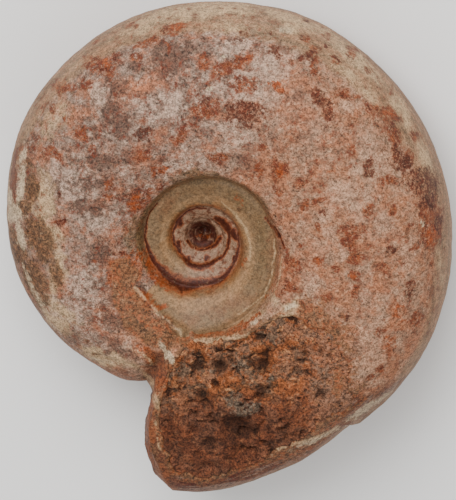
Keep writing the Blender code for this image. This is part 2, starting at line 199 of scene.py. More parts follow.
@dataclass(frozen=True)
class Coil:
    """Sizes of the ideal shell, in millimetres and degrees, and the surface that they give."""

    mouth_bearing: float = 256.0
    mouth_sweep: float = 8.0
    sweep_radii: Place = (37.0, 56.0)
    sweep_fade: float = 36.0
    mouth_setback: float = 4.0
    setback_rise: float = 0.08
    mouth_curve: float = 3.5
    foot_bearing: float = 610.0
    seam_size: float = 18.7
    seam_start: float = 270.0
    seam_growth: float = 1.88
    seam_swell: float = 0.15
    swell_bearing: float = 420.0
    swell_spread: float = 42.0
    apex_height: float = 2.4
    cone_rise: float = 1.41
    cone_power: float = 0.8
    wall_height: float = 0.18
    wall_width: float = 0.16
    seam_groove: float = 0.035
    groove_width: float = 0.05
    inner_turns: int = 4
    edge_bearings: tuple[float, ...] = (256.0, 270.0, 285.0, 300.0, 330.0, 360.0, 400.0, 450.0, 480.0,
                                        500.0, 520.0, 540.0, 570.0, 590.0, 604.0, 612.0)
    edge_radii: tuple[float, ...] = (58.0, 57.8, 55.2, 53.5, 52.8, 51.8, 50.4, 48.1, 46.6,
                                     44.6, 43.2, 42.3, 39.8, 38.0, 37.0, 34.4)
    mouth_half_thickness: float = 23.2
    mouth_crest_radius: float = 35.0
    cover: float = 0.72
    flank_power: float = 2.25
    turn_over: float = 0.5
    crest_ease: float = 1.5
    handover: float = 64.0
    sight: tuple[float, float, float] = (0.110, 0.330, 0.938)
    lean_axis: tuple[float, float, float] = (-0.955, -0.297, 0.0)
    lean: float = 3.32
    worn_flat: float = 0.35

    def seam_radius(self, bearing: Array) -> Array:
        """Radius of the seam: a logarithmic spiral times a bell curve near the swell's bearing."""
        swell = 1.0 + self.seam_swell * bell(bearing - self.swell_bearing, self.swell_spread)
        return self.seam_size * self.seam_growth ** ((self.seam_start - bearing) / TURN) * swell

    def seam_height(self, bearing: Array) -> Array:
        """Height of the seam: a constant times a power of its radius, above the first chamber."""
        return self.apex_height + self.cone_rise * self.seam_radius(bearing) ** self.cone_power

    def edge_radius(self, bearing: Array) -> Array:
        """Radius of the outer edge: cubic Hermite pieces through the named radii.

        Args:
            bearing: degrees.

        Returns:
            Millimetres.
        """
        knots, radii = np.array(self.edge_bearings), np.array(self.edge_radii)
        slopes = np.gradient(radii, knots)
        span = np.clip(np.searchsorted(knots, bearing, side="right") - 1, 0, len(knots) - 2)
        width = knots[span + 1] - knots[span]
        share = np.clip((bearing - knots[span]) / width, 0.0, 1.0)
        return ((1.0 + 2.0 * share) * (1.0 - share) ** 2 * radii[span]
                + share * (1.0 - share) ** 2 * width * slopes[span]
                + share ** 2 * (3.0 - 2.0 * share) * radii[span + 1]
                + share ** 2 * (share - 1.0) * width * slopes[span + 1])

    def whorl_height(self, radius: Array, inner: Array, inner_height: Array, crest: Array,
                     crest_height: Array) -> Array:
        """Height of a whorl: a quarter sine up its umbilical wall plus a slow one up its flank.

        Args:
            radius: radius of each place.
            inner: radius of the whorl's own seam.
            inner_height: height of that seam.
            crest: radius of the whorl's thickest line.
            crest_height: height of that line.

        Returns:
            Millimetres above the middle plane.
        """
        wall = self.wall_height * inner
        up_wall = np.clip((radius - inner) / (self.wall_width * inner), 0.0, 1.0)
        up_flank = np.clip((radius - inner) / (crest - inner), 0.0, 1.0)
        return (inner_height + wall * np.sin(QUARTER * up_wall)
                + (crest_height - inner_height - wall) * np.sin(QUARTER * up_flank))

    def exposed_crest(self, bearing: Array) -> tuple[Array, Array]:
        """Hidden crest of the whorl whose own seam is at the bearing.

        The next whorl out leaves bare the first part of the flank's quarter sine, up to its own
        seam, so the crest follows from the two seams and that share.

        Args:
            bearing: degrees.

        Returns:
            Radius and height of the crest, millimetres.
        """
        inner, inner_height = self.seam_radius(bearing), self.seam_height(bearing)
        outer, outer_height = self.seam_radius(bearing - TURN), self.seam_height(bearing - TURN)
        wall = self.wall_height * inner
        rise = (outer_height - inner_height - wall) / math.sin(QUARTER * self.cover)
        return inner + (outer - inner) / self.cover, inner_height + wall + rise

    def crest_of(self, bearing: Array) -> tuple[Array, Array]:
        """Thickest line of the last whorl.

        Both of its sizes change by a constant factor per degree, from the mouth to the foot, where
        the whorl passes under the mouth's own seam.

        Args:
            bearing: degrees.

        Returns:
            Radius and height, millimetres.
        """
        foot_radius, foot_height = self.exposed_crest(self.foot_bearing)
        share = (bearing - self.mouth_bearing) / (self.foot_bearing - self.mouth_bearing)
        return (self.mouth_crest_radius * (foot_radius / self.mouth_crest_radius) ** share,
                self.mouth_half_thickness * (foot_height / self.mouth_half_thickness) ** share)

    def upper_height(self, radius: Array, bearing: Array) -> Array:
        """Height of the upper side inside the crest: each whorl's own height between its seams.

        A bell curve cuts a groove along each seam, and a parabola closes the middle.

        Args:
            radius: millimetres.
            bearing: degrees.

        Returns:
            Millimetres above the middle plane.
        """
        crest, crest_height = self.crest_of(bearing)
        height = self.whorl_height(radius, self.seam_radius(bearing), self.seam_height(bearing),
                                   crest, crest_height)
        groove = np.zeros_like(height)
        for turn in range(1, self.inner_turns + 1):
            own = bearing + TURN * turn
            outer = self.seam_radius(own - TURN)
            band = self.whorl_height(radius, self.seam_radius(own), self.seam_height(own),
                                     *self.exposed_crest(own))
            height = np.where(radius < outer, band, height)
            groove += self.seam_groove * outer * bell(radius - outer, self.groove_width * outer)
        innermost = self.seam_radius(bearing + TURN * self.inner_turns)
        bowl = (self.apex_height
                + self.cone_rise * innermost ** self.cone_power * (radius / innermost) ** 2)
        return np.where(radius < innermost, bowl, height) - groove

    def flank_point(self, bearing: Array, share: Array) -> tuple[Array, Array]:
        """Place on the half section of the last whorl.

        The first part climbs to the crest; the rest is a quarter of a superellipse.

        Args:
            bearing: degrees.
            share: share of the way from the seam (0) to the outer edge (1).

        Returns:
            Radius and height, millimetres.
        """
        crest, crest_height = self.crest_of(bearing)
        inner = self.seam_radius(bearing)
        near = inner + (crest - inner) * np.clip(share / self.turn_over, 0.0, 1.0) ** self.crest_ease
        angle = QUARTER * np.clip((share - self.turn_over) / (1.0 - self.turn_over), 0.0, 1.0)
        power = 2.0 / self.flank_power
        far = crest + (self.edge_radius(bearing) - crest) * np.sin(angle) ** power
        far_height = crest_height * np.clip(np.cos(angle), 0.0, 1.0) ** power
        outside = share > self.turn_over
        return (np.where(outside, far, near),
                np.where(outside, far_height, self.upper_height(near, bearing)))

    def section(self, bearings: Array, umbilicus_rows: int) -> tuple[Array, Array]:
        """The half section at each bearing.

        Rows run in equal radius steps from the middle to the seam, then in equal shares to the
        outer edge. Near the foot the row on the seam climbs the flank to the mouth's own seam.

        Args:
            bearings: degrees, by column and row.
            umbilicus_rows: how many rows lie inside the seam.

        Returns:
            Radius and height by column and row, millimetres.
        """
        foot_share = self.turn_over * self.cover ** (1.0 / self.crest_ease)
        leave = foot_share * smooth_step(self.foot_bearing - self.handover, self.foot_bearing, bearings)
        seam_row, _ = self.flank_point(bearings, leave)
        rows = np.arange(1, bearings.shape[1] + 1)
        inside_radius = seam_row * np.minimum(rows / umbilicus_rows, 1.0)
        across = np.clip((rows - umbilicus_rows) / (len(rows) - umbilicus_rows), 0.0, 1.0)
        outside_radius, outside_height = self.flank_point(bearings, leave + (1.0 - leave) * across)
        inside = rows <= umbilicus_rows
        return (np.where(inside, inside_radius, outside_radius),
                np.where(inside, self.upper_height(inside_radius, bearings), outside_height))

    def half_sheet(self, bearings: Array, umbilicus_rows: int, flank_rows: int,
                   mouth_columns: int) -> Array:
        """Upper half of the ideal surface, with the broken mouth's columns last.

        The mouth's columns blend in a straight line, in radius and height, from the last column
        back to the first, while their bearing steps back at once and then sweeps forward with
        a power of the rise.

        Args:
            bearings: degrees, one for each column from the mouth to the foot.
            umbilicus_rows: rows inside the seam.
            flank_rows: rows from the seam to the outer edge.
            mouth_columns: columns on the broken mouth.

        Returns:
            Places by column and row, millimetres.
        """
        rows = umbilicus_rows + flank_rows
        mouth_radius, _ = self.section(np.full((1, rows), self.mouth_bearing), umbilicus_rows)
        late = self.mouth_sweep * smooth_step(*self.sweep_radii, mouth_radius)
        fading = smooth_step(self.mouth_bearing, self.mouth_bearing + self.sweep_fade,
                             bearings[:, None])
        angles = bearings[:, None] + late * (1.0 - fading)
        radii, heights = self.section(angles, umbilicus_rows)
        rise = np.linspace(0.0, 1.0, mouth_columns + 2)[1:-1, None]
        foot, lip = angles[-1] - TURN, angles[0]
        setback = self.mouth_setback * (1.0 - np.exp(-rise / self.setback_rise))
        face = foot + np.where(np.arange(rows) < umbilicus_rows, (lip - foot) * rise,
                               setback + (lip - foot - self.mouth_setback)
                               * rise ** self.mouth_curve)
        radii = np.concatenate([radii, radii[-1] + (radii[0] - radii[-1]) * rise])
        heights = np.concatenate([heights, heights[-1] + (heights[0] - heights[-1]) * rise])
        turn = np.radians(np.concatenate([angles, face]))
        return np.stack([radii * np.cos(turn), radii * np.sin(turn), heights], axis=-1)

    def sight_axes(self) -> tuple[Array, Array, Array]:
        """The plan's axes in the coil's own frame.

        Returns:
            Unit vectors of the sight, of plan right and of plan up.
        """
        sight = np.array(self.sight) / np.linalg.norm(self.sight)
        right = np.cross((0.0, 1.0, 0.0), sight)
        right /= np.linalg.norm(right)
        return sight, right, np.cross(sight, right)

    def plan_of(self, points: Array) -> Plan:
        """Plan coordinates: distances from the first chamber along the plan's two axes.

        Args:
            points: places in the coil's own frame, millimetres.

        Returns:
            Across and along, millimetres.
        """
        _, right, above = self.sight_axes()
        from_apex = points - np.array([0.0, 0.0, self.apex_height])
        return from_apex @ right, from_apex @ above

    def leaned(self, vectors: Array) -> Array:
        """Turns vectors by the lean about the lean axis, by Rodrigues' formula.

        Args:
            vectors: in the coil's own frame.

        Returns:
            The same vectors as the stone lies.
        """
        axis = np.array(self.lean_axis) / np.linalg.norm(self.lean_axis)
        angle = math.radians(self.lean)
        along = (vectors @ axis)[..., None] * axis
        return (along + (vectors - along) * math.cos(angle)
                + np.cross(axis, vectors) * math.sin(angle))


# --- weathering -------------------------------------------------------------------------------

@dataclass(frozen=True)
class Knob:
    """A rounded bump, or with a negative lift a pit, in plan millimetres."""

    across: float
    along: float
    radius: float
    lift: float

    def height(self, plan: Plan) -> Array:
        """Bell curve: the lift times e to the minus square of the distance over the radius."""
        return self.lift * bell(np.hypot(plan[0] - self.across, plan[1] - self.along), self.radius)


@dataclass(frozen=True)
class Weathering:
    """Everything that breakage, wear and the filling have done to the ideal shell.

    The broad relief is shared by the shell and by the sandstone; the fine relief belongs to
    the shell alone. All sizes are millimetres.
    """

    undulation: Places = ((22.0, 0.45), (9.0, 0.22))
    mouth_lumps: Places = ((7.0, 0.8), (3.5, 0.5))
    sandstone_rim: Places = (
        (-5.9, -50.8), (-1.1, -52.7), (11.6, -48.9), (22.0, -42.6), (30.5, -35.9), (29.4, -27.5),
        (24.2, -21.2), (17.9, -18.1), (11.6, -20.2), (4.8, -22.9), (-2.9, -23.3), (-6.3, -27.5),
        (-7.8, -32.8), (-9.5, -35.9), (-9.9, -41.0), (-7.8, -47.0))
    sandstone_sink: float = 1.5
    sandstone_edge: float = 2.0
    sandstone_lumps: Places = ((5.5, 1.3), (2.8, 0.7))
    rim_noise: Places = ((5.0, 0.5), (2.2, 0.5), (0.9, 0.3))
    patchy: Place = (19.0, 28.0)
    knobs: tuple[Knob, ...] = (
        Knob(2.9, -28.8, 1.6, -1.8), Knob(11.6, -28.4, 1.7, -1.8), Knob(7.0, -29.6, 1.8, 1.0),
        Knob(-0.6, -34.9, 1.3, -1.4), Knob(11.6, -34.0, 1.3, -1.5), Knob(6.0, -41.8, 2.8, -2.5),
        Knob(8.6, -43.4, 1.7, -1.6), Knob(1.0, -45.2, 1.5, -1.2), Knob(-5.5, -44.0, 3.2, 1.2),
        Knob(17.0, -38.0, 4.0, 0.9), Knob(-5.9, -22.2, 2.0, 0.9), Knob(-12.5, -15.0, 4.5, 0.5),
        Knob(-9.3, -29.5, 3.6, -1.3))
    ridge: Places = ((-14.3, -12.6), (-11.3, -16.2), (-7.4, -19.7), (-2.7, -22.5))
    ridge_width: float = 0.9
    ridge_height: float = 0.9
    tongue: Places = ((-24.0, -21.0), (-22.5, -25.8), (-16.0, -27.7), (-11.1, -28.8),
                      (-11.1, -27.7), (-12.4, -26.2), (-16.6, -23.3))
    tongue_height: float = 0.7
    flakes: tuple[tuple[float, float, float, float], ...] = ((-34.0, 2.0, 3.2, 9.0),
                                                             (-37.0, 9.5, 2.4, 4.6))
    flake_depth: float = 0.45
    edge_step_bearing: float = 309.5
    edge_step_fade: float = 18.0
    edge_step_depth: float = 0.9
    under_flakes: tuple[tuple[float, float, float], ...] = (
        (40.0, 38.0, 7.0), (118.0, 33.0, 9.0), (205.0, 30.0, 6.0), (300.0, 41.0, 10.0),
        (335.0, 27.0, 5.0))
    under_flake_depth: float = 0.5
    chip_bearing: float = 314.0
    chip_slope: float = 30.0
    chip_depth: float = 0.6

    def sandstone_inset(self, coil: Coil, points: Array) -> Array:
        """Distance inside the ragged rim of the bare sandstone, negative outside it.

        Noise in three layers is added to the distance from the drawn rim. It is three times as
        strong on the right, where the shell thins out in patches.

        Args:
            coil: the ideal shell.
            points: places on it.

        Returns:
            Millimetres.
        """
        plan = coil.plan_of(points)
        ragged = layered_noise(points, self.rim_noise, 41)
        ragged *= 1.0 + 2.0 * smooth_step(*self.patchy, plan[0])
        return distance_inside(plan, self.sandstone_rim) + ragged

    def broad(self, coil: Coil, points: Array, facing: Array, on_mouth: Array,
              sink_sandstone: bool) -> Array:
        """Height of the relief that gives the stone its lumps, steps, ledges and pits.

        It is the sum of slow noise, sunk and lumpy sandstone, bell-shaped knobs, a bell-shaped
        ridge, the step up to the tongue, flaked ovals, the step on the outer edge, flaked
        rounds on the hidden side, and the lumps of the broken mouth.

        Args:
            coil: the ideal shell.
            points: places on it.
            facing: 1 where the surface is seen from above, 0 on the hidden side.
            on_mouth: 1 on the broken mouth.
            sink_sandstone: whether the sandstone's own sink and lumps are added.

        Returns:
            Millimetres along the outward normal.
        """
        across, along = plan = coil.plan_of(points)
        height = layered_noise(points, self.undulation, 3)
        if sink_sandstone:
            inside = smooth_step(-0.2, self.sandstone_edge, distance_inside(plan, self.sandstone_rim))
            calm = 1.0 - 0.6 * smooth_step(10.0, 30.0, across)
            lumps = layered_noise(points, self.sandstone_lumps, 11) - self.sandstone_sink
            height += facing * inside * calm * lumps
        for knob in self.knobs:
            height += facing * knob.height(plan)
        ridge = distance_to_path(plan, self.ridge)
        height += facing * self.ridge_height * bell(ridge, self.ridge_width)
        tongue = distance_inside(plan, self.tongue)
        height += facing * self.tongue_height * smooth_step(-0.6, 0.6, tongue)
        for place_across, place_along, half_width, half_height in self.flakes:
            away = np.hypot((across - place_across) / half_width, (along - place_along) / half_height)
            away += 0.12 * lattice_noise(points, 2.2, 33)
            height -= facing * self.flake_depth * (1.0 - smooth_step(0.92, 1.02, away))
        bearing, radius = polar(points)
        before_step = self.edge_step_bearing - bearing
        stepped = (smooth_step(0.0, 1.5, before_step)
                   * (1.0 - smooth_step(1.5, self.edge_step_fade, before_step)))
        height -= self.edge_step_depth * stepped * smooth_step(46.0, 50.0, radius)
        underside = smooth_step(4.0, 9.0, -points[..., 2])
        for place_bearing, place_radius, size in self.under_flakes:
            turn = math.radians(place_bearing)
            away = np.hypot(points[..., 0] - place_radius * math.cos(turn),
                            points[..., 1] - place_radius * math.sin(turn)) / size
            away += 0.25 * lattice_noise(points, 4.0, 31)
            height -= underside * self.under_flake_depth * (1.0 - smooth_step(0.7, 0.85, away))
        return height + on_mouth * layered_noise(points, self.mouth_lumps, 21)

    def chipped(self, points: Array) -> Array:
        """Cuts the flat chip off the outer edge: what lies beyond its plane moves back onto it.

        Args:
            points: places in the coil's own frame.

        Returns:
            The places, moved where the chip is.
        """
        bearing, slope = math.radians(self.chip_bearing), math.radians(self.chip_slope)
        outward = np.array([math.cos(bearing) * math.cos(slope), math.sin(bearing) * math.cos(slope),
                            math.sin(slope)])
        beyond = points @ outward
        limit = beyond.max() - self.chip_depth
        return points - outward * np.maximum(beyond - limit, 0.0)[..., None]


# --- stains -----------------------------------------------------------------------------------

@dataclass(frozen=True)
class Oval:
    """One stain: plan place, half width and half height in tenths of a millimetre, strength, and
    turn in degrees counterclockwise."""

    across: float
    along: float
    wide: float
    high: float
    strength: float = 1.0
    turn: float = 0.0

    def cover(self, plan: Plan) -> Array:
        """The strength times 2 to the minus square of the distance, which is measured in half
        widths and half heights along the oval's own turned axes.

        Args:
            plan: plan coordinates of each place.

        Returns:
            One value for each place, half the strength on the rim of the oval.
        """
        angle = math.radians(self.turn)
        right, up = plan[0] - self.across / 10.0, plan[1] - self.along / 10.0
        on_width = (right * math.cos(angle) + up * math.sin(angle)) / (self.wide / 10.0)
        on_height = (up * math.cos(angle) - right * math.sin(angle)) / (self.high / 10.0)
        return self.strength * 2.0 ** -(on_width ** 2 + on_height ** 2)


class Stain(Enum):
    """Kinds of marking, each carried to the finishes as an attribute of its own."""

    RUST = "rust"
    ORANGE = "orange"
    MAROON = "maroon"
    DUSK = "dusk"
    PALE = "pale"
    SALMON = "salmon"
    CREAM = "cream"
    BROWN = "brown"
    WEDGE = "wedge"
    WHITE = "white"
    OLIVE = "olive"


SHARP_STAINS = (Stain.WHITE, Stain.WEDGE, Stain.BROWN)

# Stains by kind, each the values of an Oval in their order.
STAINS: dict[Stain, tuple[tuple[float, ...], ...]] = {Stain.RUST: (
    (-59, 414, 27, 11, 1.2, 15), (-120, 386, 29, 8, 1.1, 15), (-73, 374, 6, 17), (-143, 355, 15, 6, 1, 20),
    (-214, 338, 36, 17, 1.2, -20), (-281, 294, 13, 13), (-241, 298, 11, 13), (-254, 199, 11, 19, 1, 20),
    (-311, 153, 13, 21, 1, 30), (-231, 166, 13, 13, 0.9), (-130, 147, 19, 11, 1, 20),
    (-105, 122, 11, 13, 1.1), (-48, 193, 13, 23, 1, -10), (-6, 246, 25, 19), (36, 330, 29, 15, 1.1, 35),
    (-8, 340, 11, 13), (-197, 90, 17, 13), (23, 145, 27, 11), (-153, 426, 15, 5, 1, 25),
    (-223, 391, 13, 6, 1, 30), (65, 342, 31, 15, 1.1, 25), (76, 298, 25, 17, 0.95), (225, 332, 11, 17),
    (221, 365, 13, 8, 1.1), (304, 363, 8, 8), (244, 401, 6, 4), (290, 281, 31, 8, 1, -10),
    (317, 275, 8, 8, 1.2), (346, 254, 21, 11, 1, -20), (386, 235, 19, 15, 1.2, -30),
    (395, 191, 15, 27, 1.1, 25), (443, 197, 11, 11), (384, 288, 8, 8, 0.9), (380, 99, 29, 11, 1, 10),
    (468, 36, 27, 29), (470, -6, 27, 29, 1.3), (151, 124, 15, 21, 1.1), (107, 124, 13, 15), (153, 80, 11, 11),
    (300, 160, 11, 13, 0.9), (208, 50, 17, 11, 0.95), (237, 59, 17, 6), (340, 42, 13, 15, 1.05),
    (391, 38, 8, 8), (231, 2, 8, 8, 1.1), (309, -4, 27, 13, 0.95), (298, 103, 4, 4, 1.3),
    (197, 206, 4, 4, 1.2), (237, -71, 13, 8, 1.3), (300, -23, 17, 23, 1, -20), (313, -59, 17, 19, 0.9),
    (309, -99, 11, 8, 1.2), (313, -132, 6, 15, 1.1), (363, -73, 17, 4, 1.1, -10), (428, -42, 17, 6, 1, 10),
    (475, -69, 6, 13), (252, -143, 13, 8), (204, -162, 11, 6), (365, -208, 17, 6),
    (443, -191, 13, 23, 0.95, -10), (368, -292, 8, 11, 1.2), (181, -124, 15, 17, 1, 30),
    (183, -78, 13, 17, 0.9), (298, -271, 15, 8), (346, -313, 13, 8), (309, -359, 27, 17, 0.95, 20),
    (-199, 61, 13, 8, 0.9), (-235, -67, 8, 6, 0.9), (-143, 55, 19, 25, 1.1, -35), (-302, 17, 19, 4, 1, 8),
    (-84, 130, 11, 6), (40, 149, 11, 8), (420, 145, 11, 19), (-183, 359, 11, 6, 1, 20), (-290, 233, 6, 11),
    (-382, 160, 6, 15, 1, -20), (120, 166, 11, 8, 0.9), (262, 120, 13, 8, 0.9), (199, 92, 15, 11, 0.85),
    (273, -86, 11, 6, 0.9), (210, -212, 29, 17, 0.9, 20), (199, -34, 8, 6, 0.9), (430, -118, 11, 8, 0.9),
    (248, -430, 46, 11, 1.1, 32), (88, -506, 50, 12, 1.1, 14), (0, -527, 36, 14),
    (-304, 296, 16, 26, 0.8, 35), (-321, 250, 12, 22, 0.7, 20), (249, 400, 9, 7, 1, -30),
    (270, 346, 13, 8, 1, -40), (310, 362, 8, 10, 1.1, -40), (211, 386, 8, 10), (-153, 422, 15, 6, 1, 30),
    (-61, 409, 24, 11, 1.1, 10), (-4, 342, 16, 18, 0.9), (94, 296, 20, 22, 0.8), (304, 376, 10, 6, 1, -40),
    (338, 330, 12, 7, 1, -45), (-6, 343, 12, 16, 1.1, 10), (20, 254, 10, 18), (-21, 206, 12, 9, 0.8),
    (32, 148, 24, 8, 0.9), (-55, 182, 16, 16, 0.9, 30), (-122, 65, 46, 9, 0.9, 40),
    (170, -69, 8, 50, 0.7, -6), (174, -124, 34, 8, 0.8, 62),
), Stain.ORANGE: (
    (-52, 418, 17, 8, 1, 10), (-204, 346, 17, 8, 0.8, -10), (149, 294, 17, 6, 1.2, -30),
    (94, 351, 13, 6, 0.9, 20), (386, 239, 13, 8, 0.8), (151, 120, 8, 11, 0.9), (237, -71, 6, 6),
    (477, -15, 17, 19, 0.9), (-170, -82, 25, 40, 1, -48), (-130, -151, 31, 17, 1, -35),
    (-103, -86, 15, 42, 1.2, 38), (-92, -162, 11, 8, 1.1), (-122, -250, 17, 6, 1.2, -25),
    (309, -99, 6, 6, 0.8), (-149, 52, 13, 19, 0.7, -35), (-19, -225, 19, 5, 1, -8), (23, -223, 27, 6, 1.2, 4),
    (73, -208, 25, 6, 1.2, 22), (107, -183, 13, 5, 1, 40), (-84, -313, 8, 23, 0.9, -25),
    (8, -86, 42, 6, 0.6, 2), (73, 61, 8, 17, 0.5, 30), (69, -57, 8, 17, 0.5, -35),
    (137, -128, 13, 21, 0.55, -35), (382, -239, 15, 25, 0.6), (401, -174, 19, 34, 0.55), (0, -15, 19, 6, 0.6),
    (-84, 124, 17, 6, 0.8, 30), (84, -69, 8, 11, 0.6),
), Stain.MAROON: (
    (82, 236, 34, 23, 1.1), (111, 206, 6, 6), (210, 355, 19, 8, 1.1, -10), (244, 376, 7, 8),
    (269, 351, 13, 6, 1.05, -20), (206, 389, 5, 6), (239, 267, 21, 13, 1.15, -35), (256, 235, 13, 13),
    (409, 145, 15, 23, 1, 20), (338, 124, 13, 15, 1.05), (456, 99, 31, 25, 1.25, -20), (468, 61, 19, 17),
    (292, -183, 11, 6, 1.1), (386, -46, 8, 6), (424, -134, 13, 11, 0.9), (489, 8, 8, 29),
    (262, -262, 19, 15, 0.8), (-126, 193, 17, 17, 0.9), (-185, 351, 8, 6, 0.9), (-214, 330, 13, 8, 0.8),
    (80, 351, 11, 6, 0.8), (65, 386, 11, 6, 0.7), (132, 405, 11, 6, 0.8, -20), (80, 407, 11, 11, 0.75, -20),
    (147, 365, 13, 13, 0.8), (-302, 76, 6, 8), (-300, 15, 6, 8), (212, 439, 13, 5, 0.9, -15),
    (368, -288, 6, 6, 1.2), (-187, -48, 6, 6, 0.8), (-170, -44, 8, 6), (393, 212, 8, 13, 0.7, 20),
    (0, 265, 8, 8, 0.9), (107, 292, 6, 6, 0.7), (304, 50, 4, 4, 0.8), (244, 34, 6, 6, 1.1),
), Stain.DUSK: (
    (-57, 342, 31, 23), (-132, 338, 29, 15, 0.85), (-193, 239, 19, 38, 1.05, -20), (-174, 208, 25, 29),
    (-214, 139, 42, 21), (-231, 92, 46, 21, 0.85, 10), (-262, 50, 34, 17, 0.7), (80, 139, 19, 17),
    (199, 275, 21, 11, 0.95), (94, 128, 17, 19, 0.9), (-162, 145, 17, 17, 0.8), (-11, 351, 13, 19, 0.7),
    (-221, -55, 34, 34, 0.85), (-189, -132, 29, 25, 0.8), (-178, -191, 38, 17, 0.95),
    (-126, -202, 38, 15, 1, -10), (-199, -229, 29, 13, 0.9, -15), (-168, -258, 38, 13, 1, -15),
    (-115, 229, 15, 15, 0.5), (-137, -23, 17, 21, 0.5), (94, 166, 25, 17, 0.6), (6, 386, 17, 11, 0.6),
    (31, 229, 13, 13, 0.6), (137, -23, 11, 19, 0.8, 15), (273, -244, 17, 17, 0.7),
    (407, -279, 17, 8, 0.7, 20), (472, -139, 8, 25, 0.8), (-210, -107, 17, 17, 0.6), (-283, 176, 17, 11, 0.6),
    (-271, 275, 11, 17, 0.6, 30), (262, -149, 11, 13, 0.6), (-231, 42, 30, 32, 0.75),
    (-151, -128, 34, 30, 0.7, -30), (-292, -212, 30, 24, 0.75, -30), (309, -258, 22, 42, 0.7, -35),
    (-389, -44, 16, 36, 0.8, 15), (21, 412, 16, 6), (79, 407, 14, 9, 1, -40), (2, 388, 13, 8),
    (120, 403, 9, 4), (162, 378, 16, 20, 0.8), (-42, 363, 26, 16, 0.8, 20), (-71, 359, 40, 30),
    (294, 386, 24, 7, 1, -38), (317, 351, 18, 6, 1, -45), (221, 430, 26, 5, 0.9, -25),
    (351, 317, 12, 8, 0.9, -50), (-158, -118, 30, 26, 0.8, -20), (-189, 292, 30, 30, 0.7),
    (-231, 197, 26, 34, 0.6, 20), (-64, 331, 32, 19, 1.1, 10), (-35, 370, 20, 15, 0.9),
    (-21, 225, 16, 12, 0.9), (80, 136, 18, 22, 0.9), (136, 196, 11, 10), (8, 196, 14, 10, 0.8),
    (196, 276, 26, 10, 0.6), (-221, -258, 40, 12, 0.8, -15), (-151, -197, 30, 22, 0.7),
    (92, 124, 32, 14, 0.8, -25), (80, 111, 16, 10, 0.6, -30), (164, -44, 7, 30, 0.8, 10),
), Stain.PALE: (
    (-80, 254, 55, 29, 1.1, 10), (-216, 275, 23, 27), (65, 317, 17, 11, 1.1), (36, 288, 17, 15, 1.1),
    (137, 330, 42, 29), (63, 376, 42, 15, 0.9, 10), (111, 397, 55, 15, 1, -10), (336, 166, 25, 31),
    (370, 134, 21, 27, 1.05), (435, 166, 15, 31, 1.1, 15), (-279, 92, 59, 42, 0.9, 20),
    (-252, -128, 42, 63, 0.85), (294, 78, 46, 21, 0.9), (294, 256, 17, 13, 1.1), (338, -244, 25, 50, 1.05),
    (221, -111, 21, 29, 0.95), (286, -48, 13, 25, 0.95), (409, -78, 11, 8, 1.1), (393, -126, 8, 6, 1.1),
    (332, -143, 13, 19), (357, -323, 17, 8, 1.1, 20), (330, -357, 15, 11), (376, 8, 25, 21, 0.95),
    (262, -8, 15, 21, 0.95), (-158, 107, 17, 13, 0.9), (-115, 82, 17, 11, 0.9, 30), (44, 208, 29, 19, 0.85),
    (73, 183, 34, 13, 0.9), (-31, 166, 29, 13, 0.6), (-40, 124, 25, 11, 0.7), (120, 351, 17, 17, 0.9),
    (-11, 292, 17, 25, 0.7), (-304, -65, 13, 63, 0.5), (-221, 8, 46, 25, 0.75), (-178, 29, 25, 17, 0.8),
    (254, 29, 19, 15, 0.9), (199, 15, 21, 15, 0.7), (174, 225, 8, 8, 0.5), (430, 99, 8, 8, 0.6),
    (309, 124, 17, 17, 0.8), (294, 208, 29, 17, 0.6), (-292, -170, 55, 25, 1, -30),
    (-210, -195, 34, 17, 0.6, -20), (283, 61, 63, 25, 0.7), (405, -307, 17, 11, 0.8, 30),
    (-313, 113, 21, 34, 0.9), (57, 288, 46, 32, 0.85), (120, 418, 60, 20, 0.9, -15),
    (178, 372, 40, 22, 0.8, -20), (328, 42, 40, 34, 0.7), (420, -69, 26, 60, 0.75),
    (328, -277, 36, 50, 0.95, -35), (351, -212, 22, 40, 0.8, -20), (-69, 132, 42, 20, 0.7, 30),
    (2, 145, 40, 16, 0.7), (420, 145, 22, 40, 0.7), (-311, -187, 42, 30, 0.9, -35),
    (-237, -229, 40, 22, 0.8, -20), (325, 281, 30, 40, 0.7, 40), (34, 405, 36, 13, 0.9),
    (111, 401, 32, 15, 0.9, -10), (127, 342, 30, 32, 0.85), (69, 315, 14, 15, 1.1), (37, 292, 16, 18, 1.1),
    (342, -279, 32, 50, 1, -35), (363, -149, 24, 24, 0.7), (66, 314, 15, 14, 1.15), (32, 290, 16, 18, 1.1),
    (-6, 312, 13, 12), (80, 196, 34, 12, 1, -15), (13, 215, 18, 9, 0.9), (-76, 264, 44, 26, 1, 15),
    (136, 268, 26, 22, 0.9), (47, 165, 30, 9, 0.8), (0, 281, 22, 22, 0.9), (101, 279, 22, 24, 0.9),
), Stain.SALMON: (
    (-126, 292, 50, 19, 1, 10), (191, 225, 46, 42, 1.1), (262, 183, 42, 21, 0.9), (149, 166, 25, 17, 0.8),
    (-19, 351, 13, 17, 0.7), (52, 166, 55, 13, 0.6), (294, 145, 38, 17, 0.6), (221, 124, 34, 25, 0.8),
    (401, -174, 25, 46, 1.1), (378, -244, 19, 29), (346, -128, 38, 17, 0.9), (304, -13, 29, 29, 0.8),
    (403, -107, 11, 8, 1.1), (363, -34, 34, 17, 0.8), (262, -286, 50, 34, 0.9), (294, -328, 42, 21, 0.9),
    (-273, 229, 21, 34, 0.8, 20), (-252, 239, 25, 21, 0.7), (-304, 250, 21, 29, 0.6, 30),
    (-178, 71, 25, 17, 0.7), (-21, 113, 38, 11, 0.6), (158, 29, 21, 34, 0.7), (147, -76, 13, 29, 0.8),
    (430, -233, 21, 46, 0.8, -20), (-189, -23, 25, 17, 0.6), (36, -156, 60, 22, 1.1, 8),
    (82, -60, 12, 40, 0.9), (-75, 46, 14, 26, 0.9, -30), (-30, -190, 30, 20, 0.7, -20),
